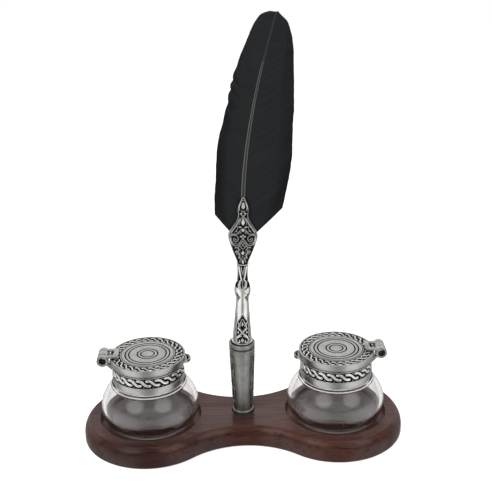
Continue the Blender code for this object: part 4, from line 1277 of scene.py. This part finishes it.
world = bpy.data.worlds.new("white_tent")
bpy.context.scene.world = world
world.use_nodes = True
tree = world.node_tree
tent = tree.nodes["Background"]
path = tree.nodes.new("ShaderNodeLightPath")
place = tree.nodes.new("ShaderNodeTexCoord")
direction = tree.nodes.new("ShaderNodeSeparateXYZ")
tree.links.new(place.outputs["Generated"], direction.inputs["Vector"])
level = combine(tree, "SQRT", combine(tree, "ADD", combine(tree, "POWER", direction.outputs["X"], 2.0),
                                      combine(tree, "POWER", direction.outputs["Y"], 2.0)), 0)
facing = combine(tree, "DIVIDE", direction.outputs["Y"], combine(tree, "MAXIMUM", level, 0.01))
side_share = combine(tree, "MULTIPLY", combine(tree, "ADD", facing, 1.0), 0.5)
low_walls = add_ramp(tree, side_share, [
    (0.0, (0.42,) * 3), (0.012, (0.46,) * 3), (0.07, (1.3,) * 3), (0.45, (1.25,) * 3), (0.60, (0.50,) * 3),
    (0.85, (0.44,) * 3), (1.0, (0.50,) * 3)])
high_walls = add_ramp(tree, side_share, [
    (0.0, (0.14,) * 3), (0.25, (0.24,) * 3), (0.60, (0.50,) * 3), (0.85, (1.10,) * 3), (1.0, (1.15,) * 3)])
inside = mix_colors(tree, rise(tree, direction.outputs["Z"], -0.15, 0.20), low_walls, high_walls)
inside = mix_colors(tree, rise(tree, direction.outputs["Z"], 0.45, 0.85), inside, tent_dusk)
soft = mix_colors(tree, rise(tree, direction.outputs["Z"], 0.0, 0.7), tent_dusk, tent_light)
outside = mix_colors(tree, path.outputs["Is Transmission Ray"], soft, tent_in_glass)
tent_color = mix_colors(tree, path.outputs["Is Glossy Ray"], outside, inside)
seen = combine(tree, "MAXIMUM", path.outputs["Is Glossy Ray"], path.outputs["Is Transmission Ray"])
for toward, edge in (((-0.53, -0.60, 0.59), 0.905), ((0.53, -0.60, 0.59), 0.905),
                     ((0, 0.05, 1), 0.965)):
    nearness = tree.nodes.new("ShaderNodeVectorMath")
    nearness.operation = "DOT_PRODUCT"
    tree.links.new(place.outputs["Generated"], nearness.inputs[0])
    nearness.inputs[1].default_value = Vector(toward).normalized()
    share = combine(tree, "MULTIPLY", seen, rise(tree, nearness.outputs["Value"], edge, 0.985))
    tent_color = mix_colors(tree, share, tent_color, tent_patch)
tent_color = mix_colors(tree, path.outputs["Is Camera Ray"], tent_color, (1, 1, 1, 1))
tree.links.new(tent_color, tent.inputs["Color"])

for name, spot, power in (("left_softbox", Vector((-0.46, -0.52, 0.56)), softbox_power),
                          ("right_softbox", Vector((0.46, -0.52, 0.56)), softbox_power * 0.48),
                          ("top_softbox", Vector((0, 0.25, 0.95)), softbox_power * 0.9)):
    lamp_data = bpy.data.lights.new(name, "AREA")
    lamp_data.shape = "SQUARE"
    lamp_data.size = softbox_size
    lamp_data.energy = power
    lamp_data.color = key_color
    lamp = bpy.data.objects.new(name, lamp_data)
    bpy.context.scene.collection.objects.link(lamp)
    lamp.location = spot
    lamp.visible_glossy = lamp.visible_transmission = False
    lamp.rotation_euler = (spot - Vector((0, 0, 0.06))).to_track_quat("Z", "Y").to_euler()

bpy.context.scene.view_settings.view_transform = "Standard"
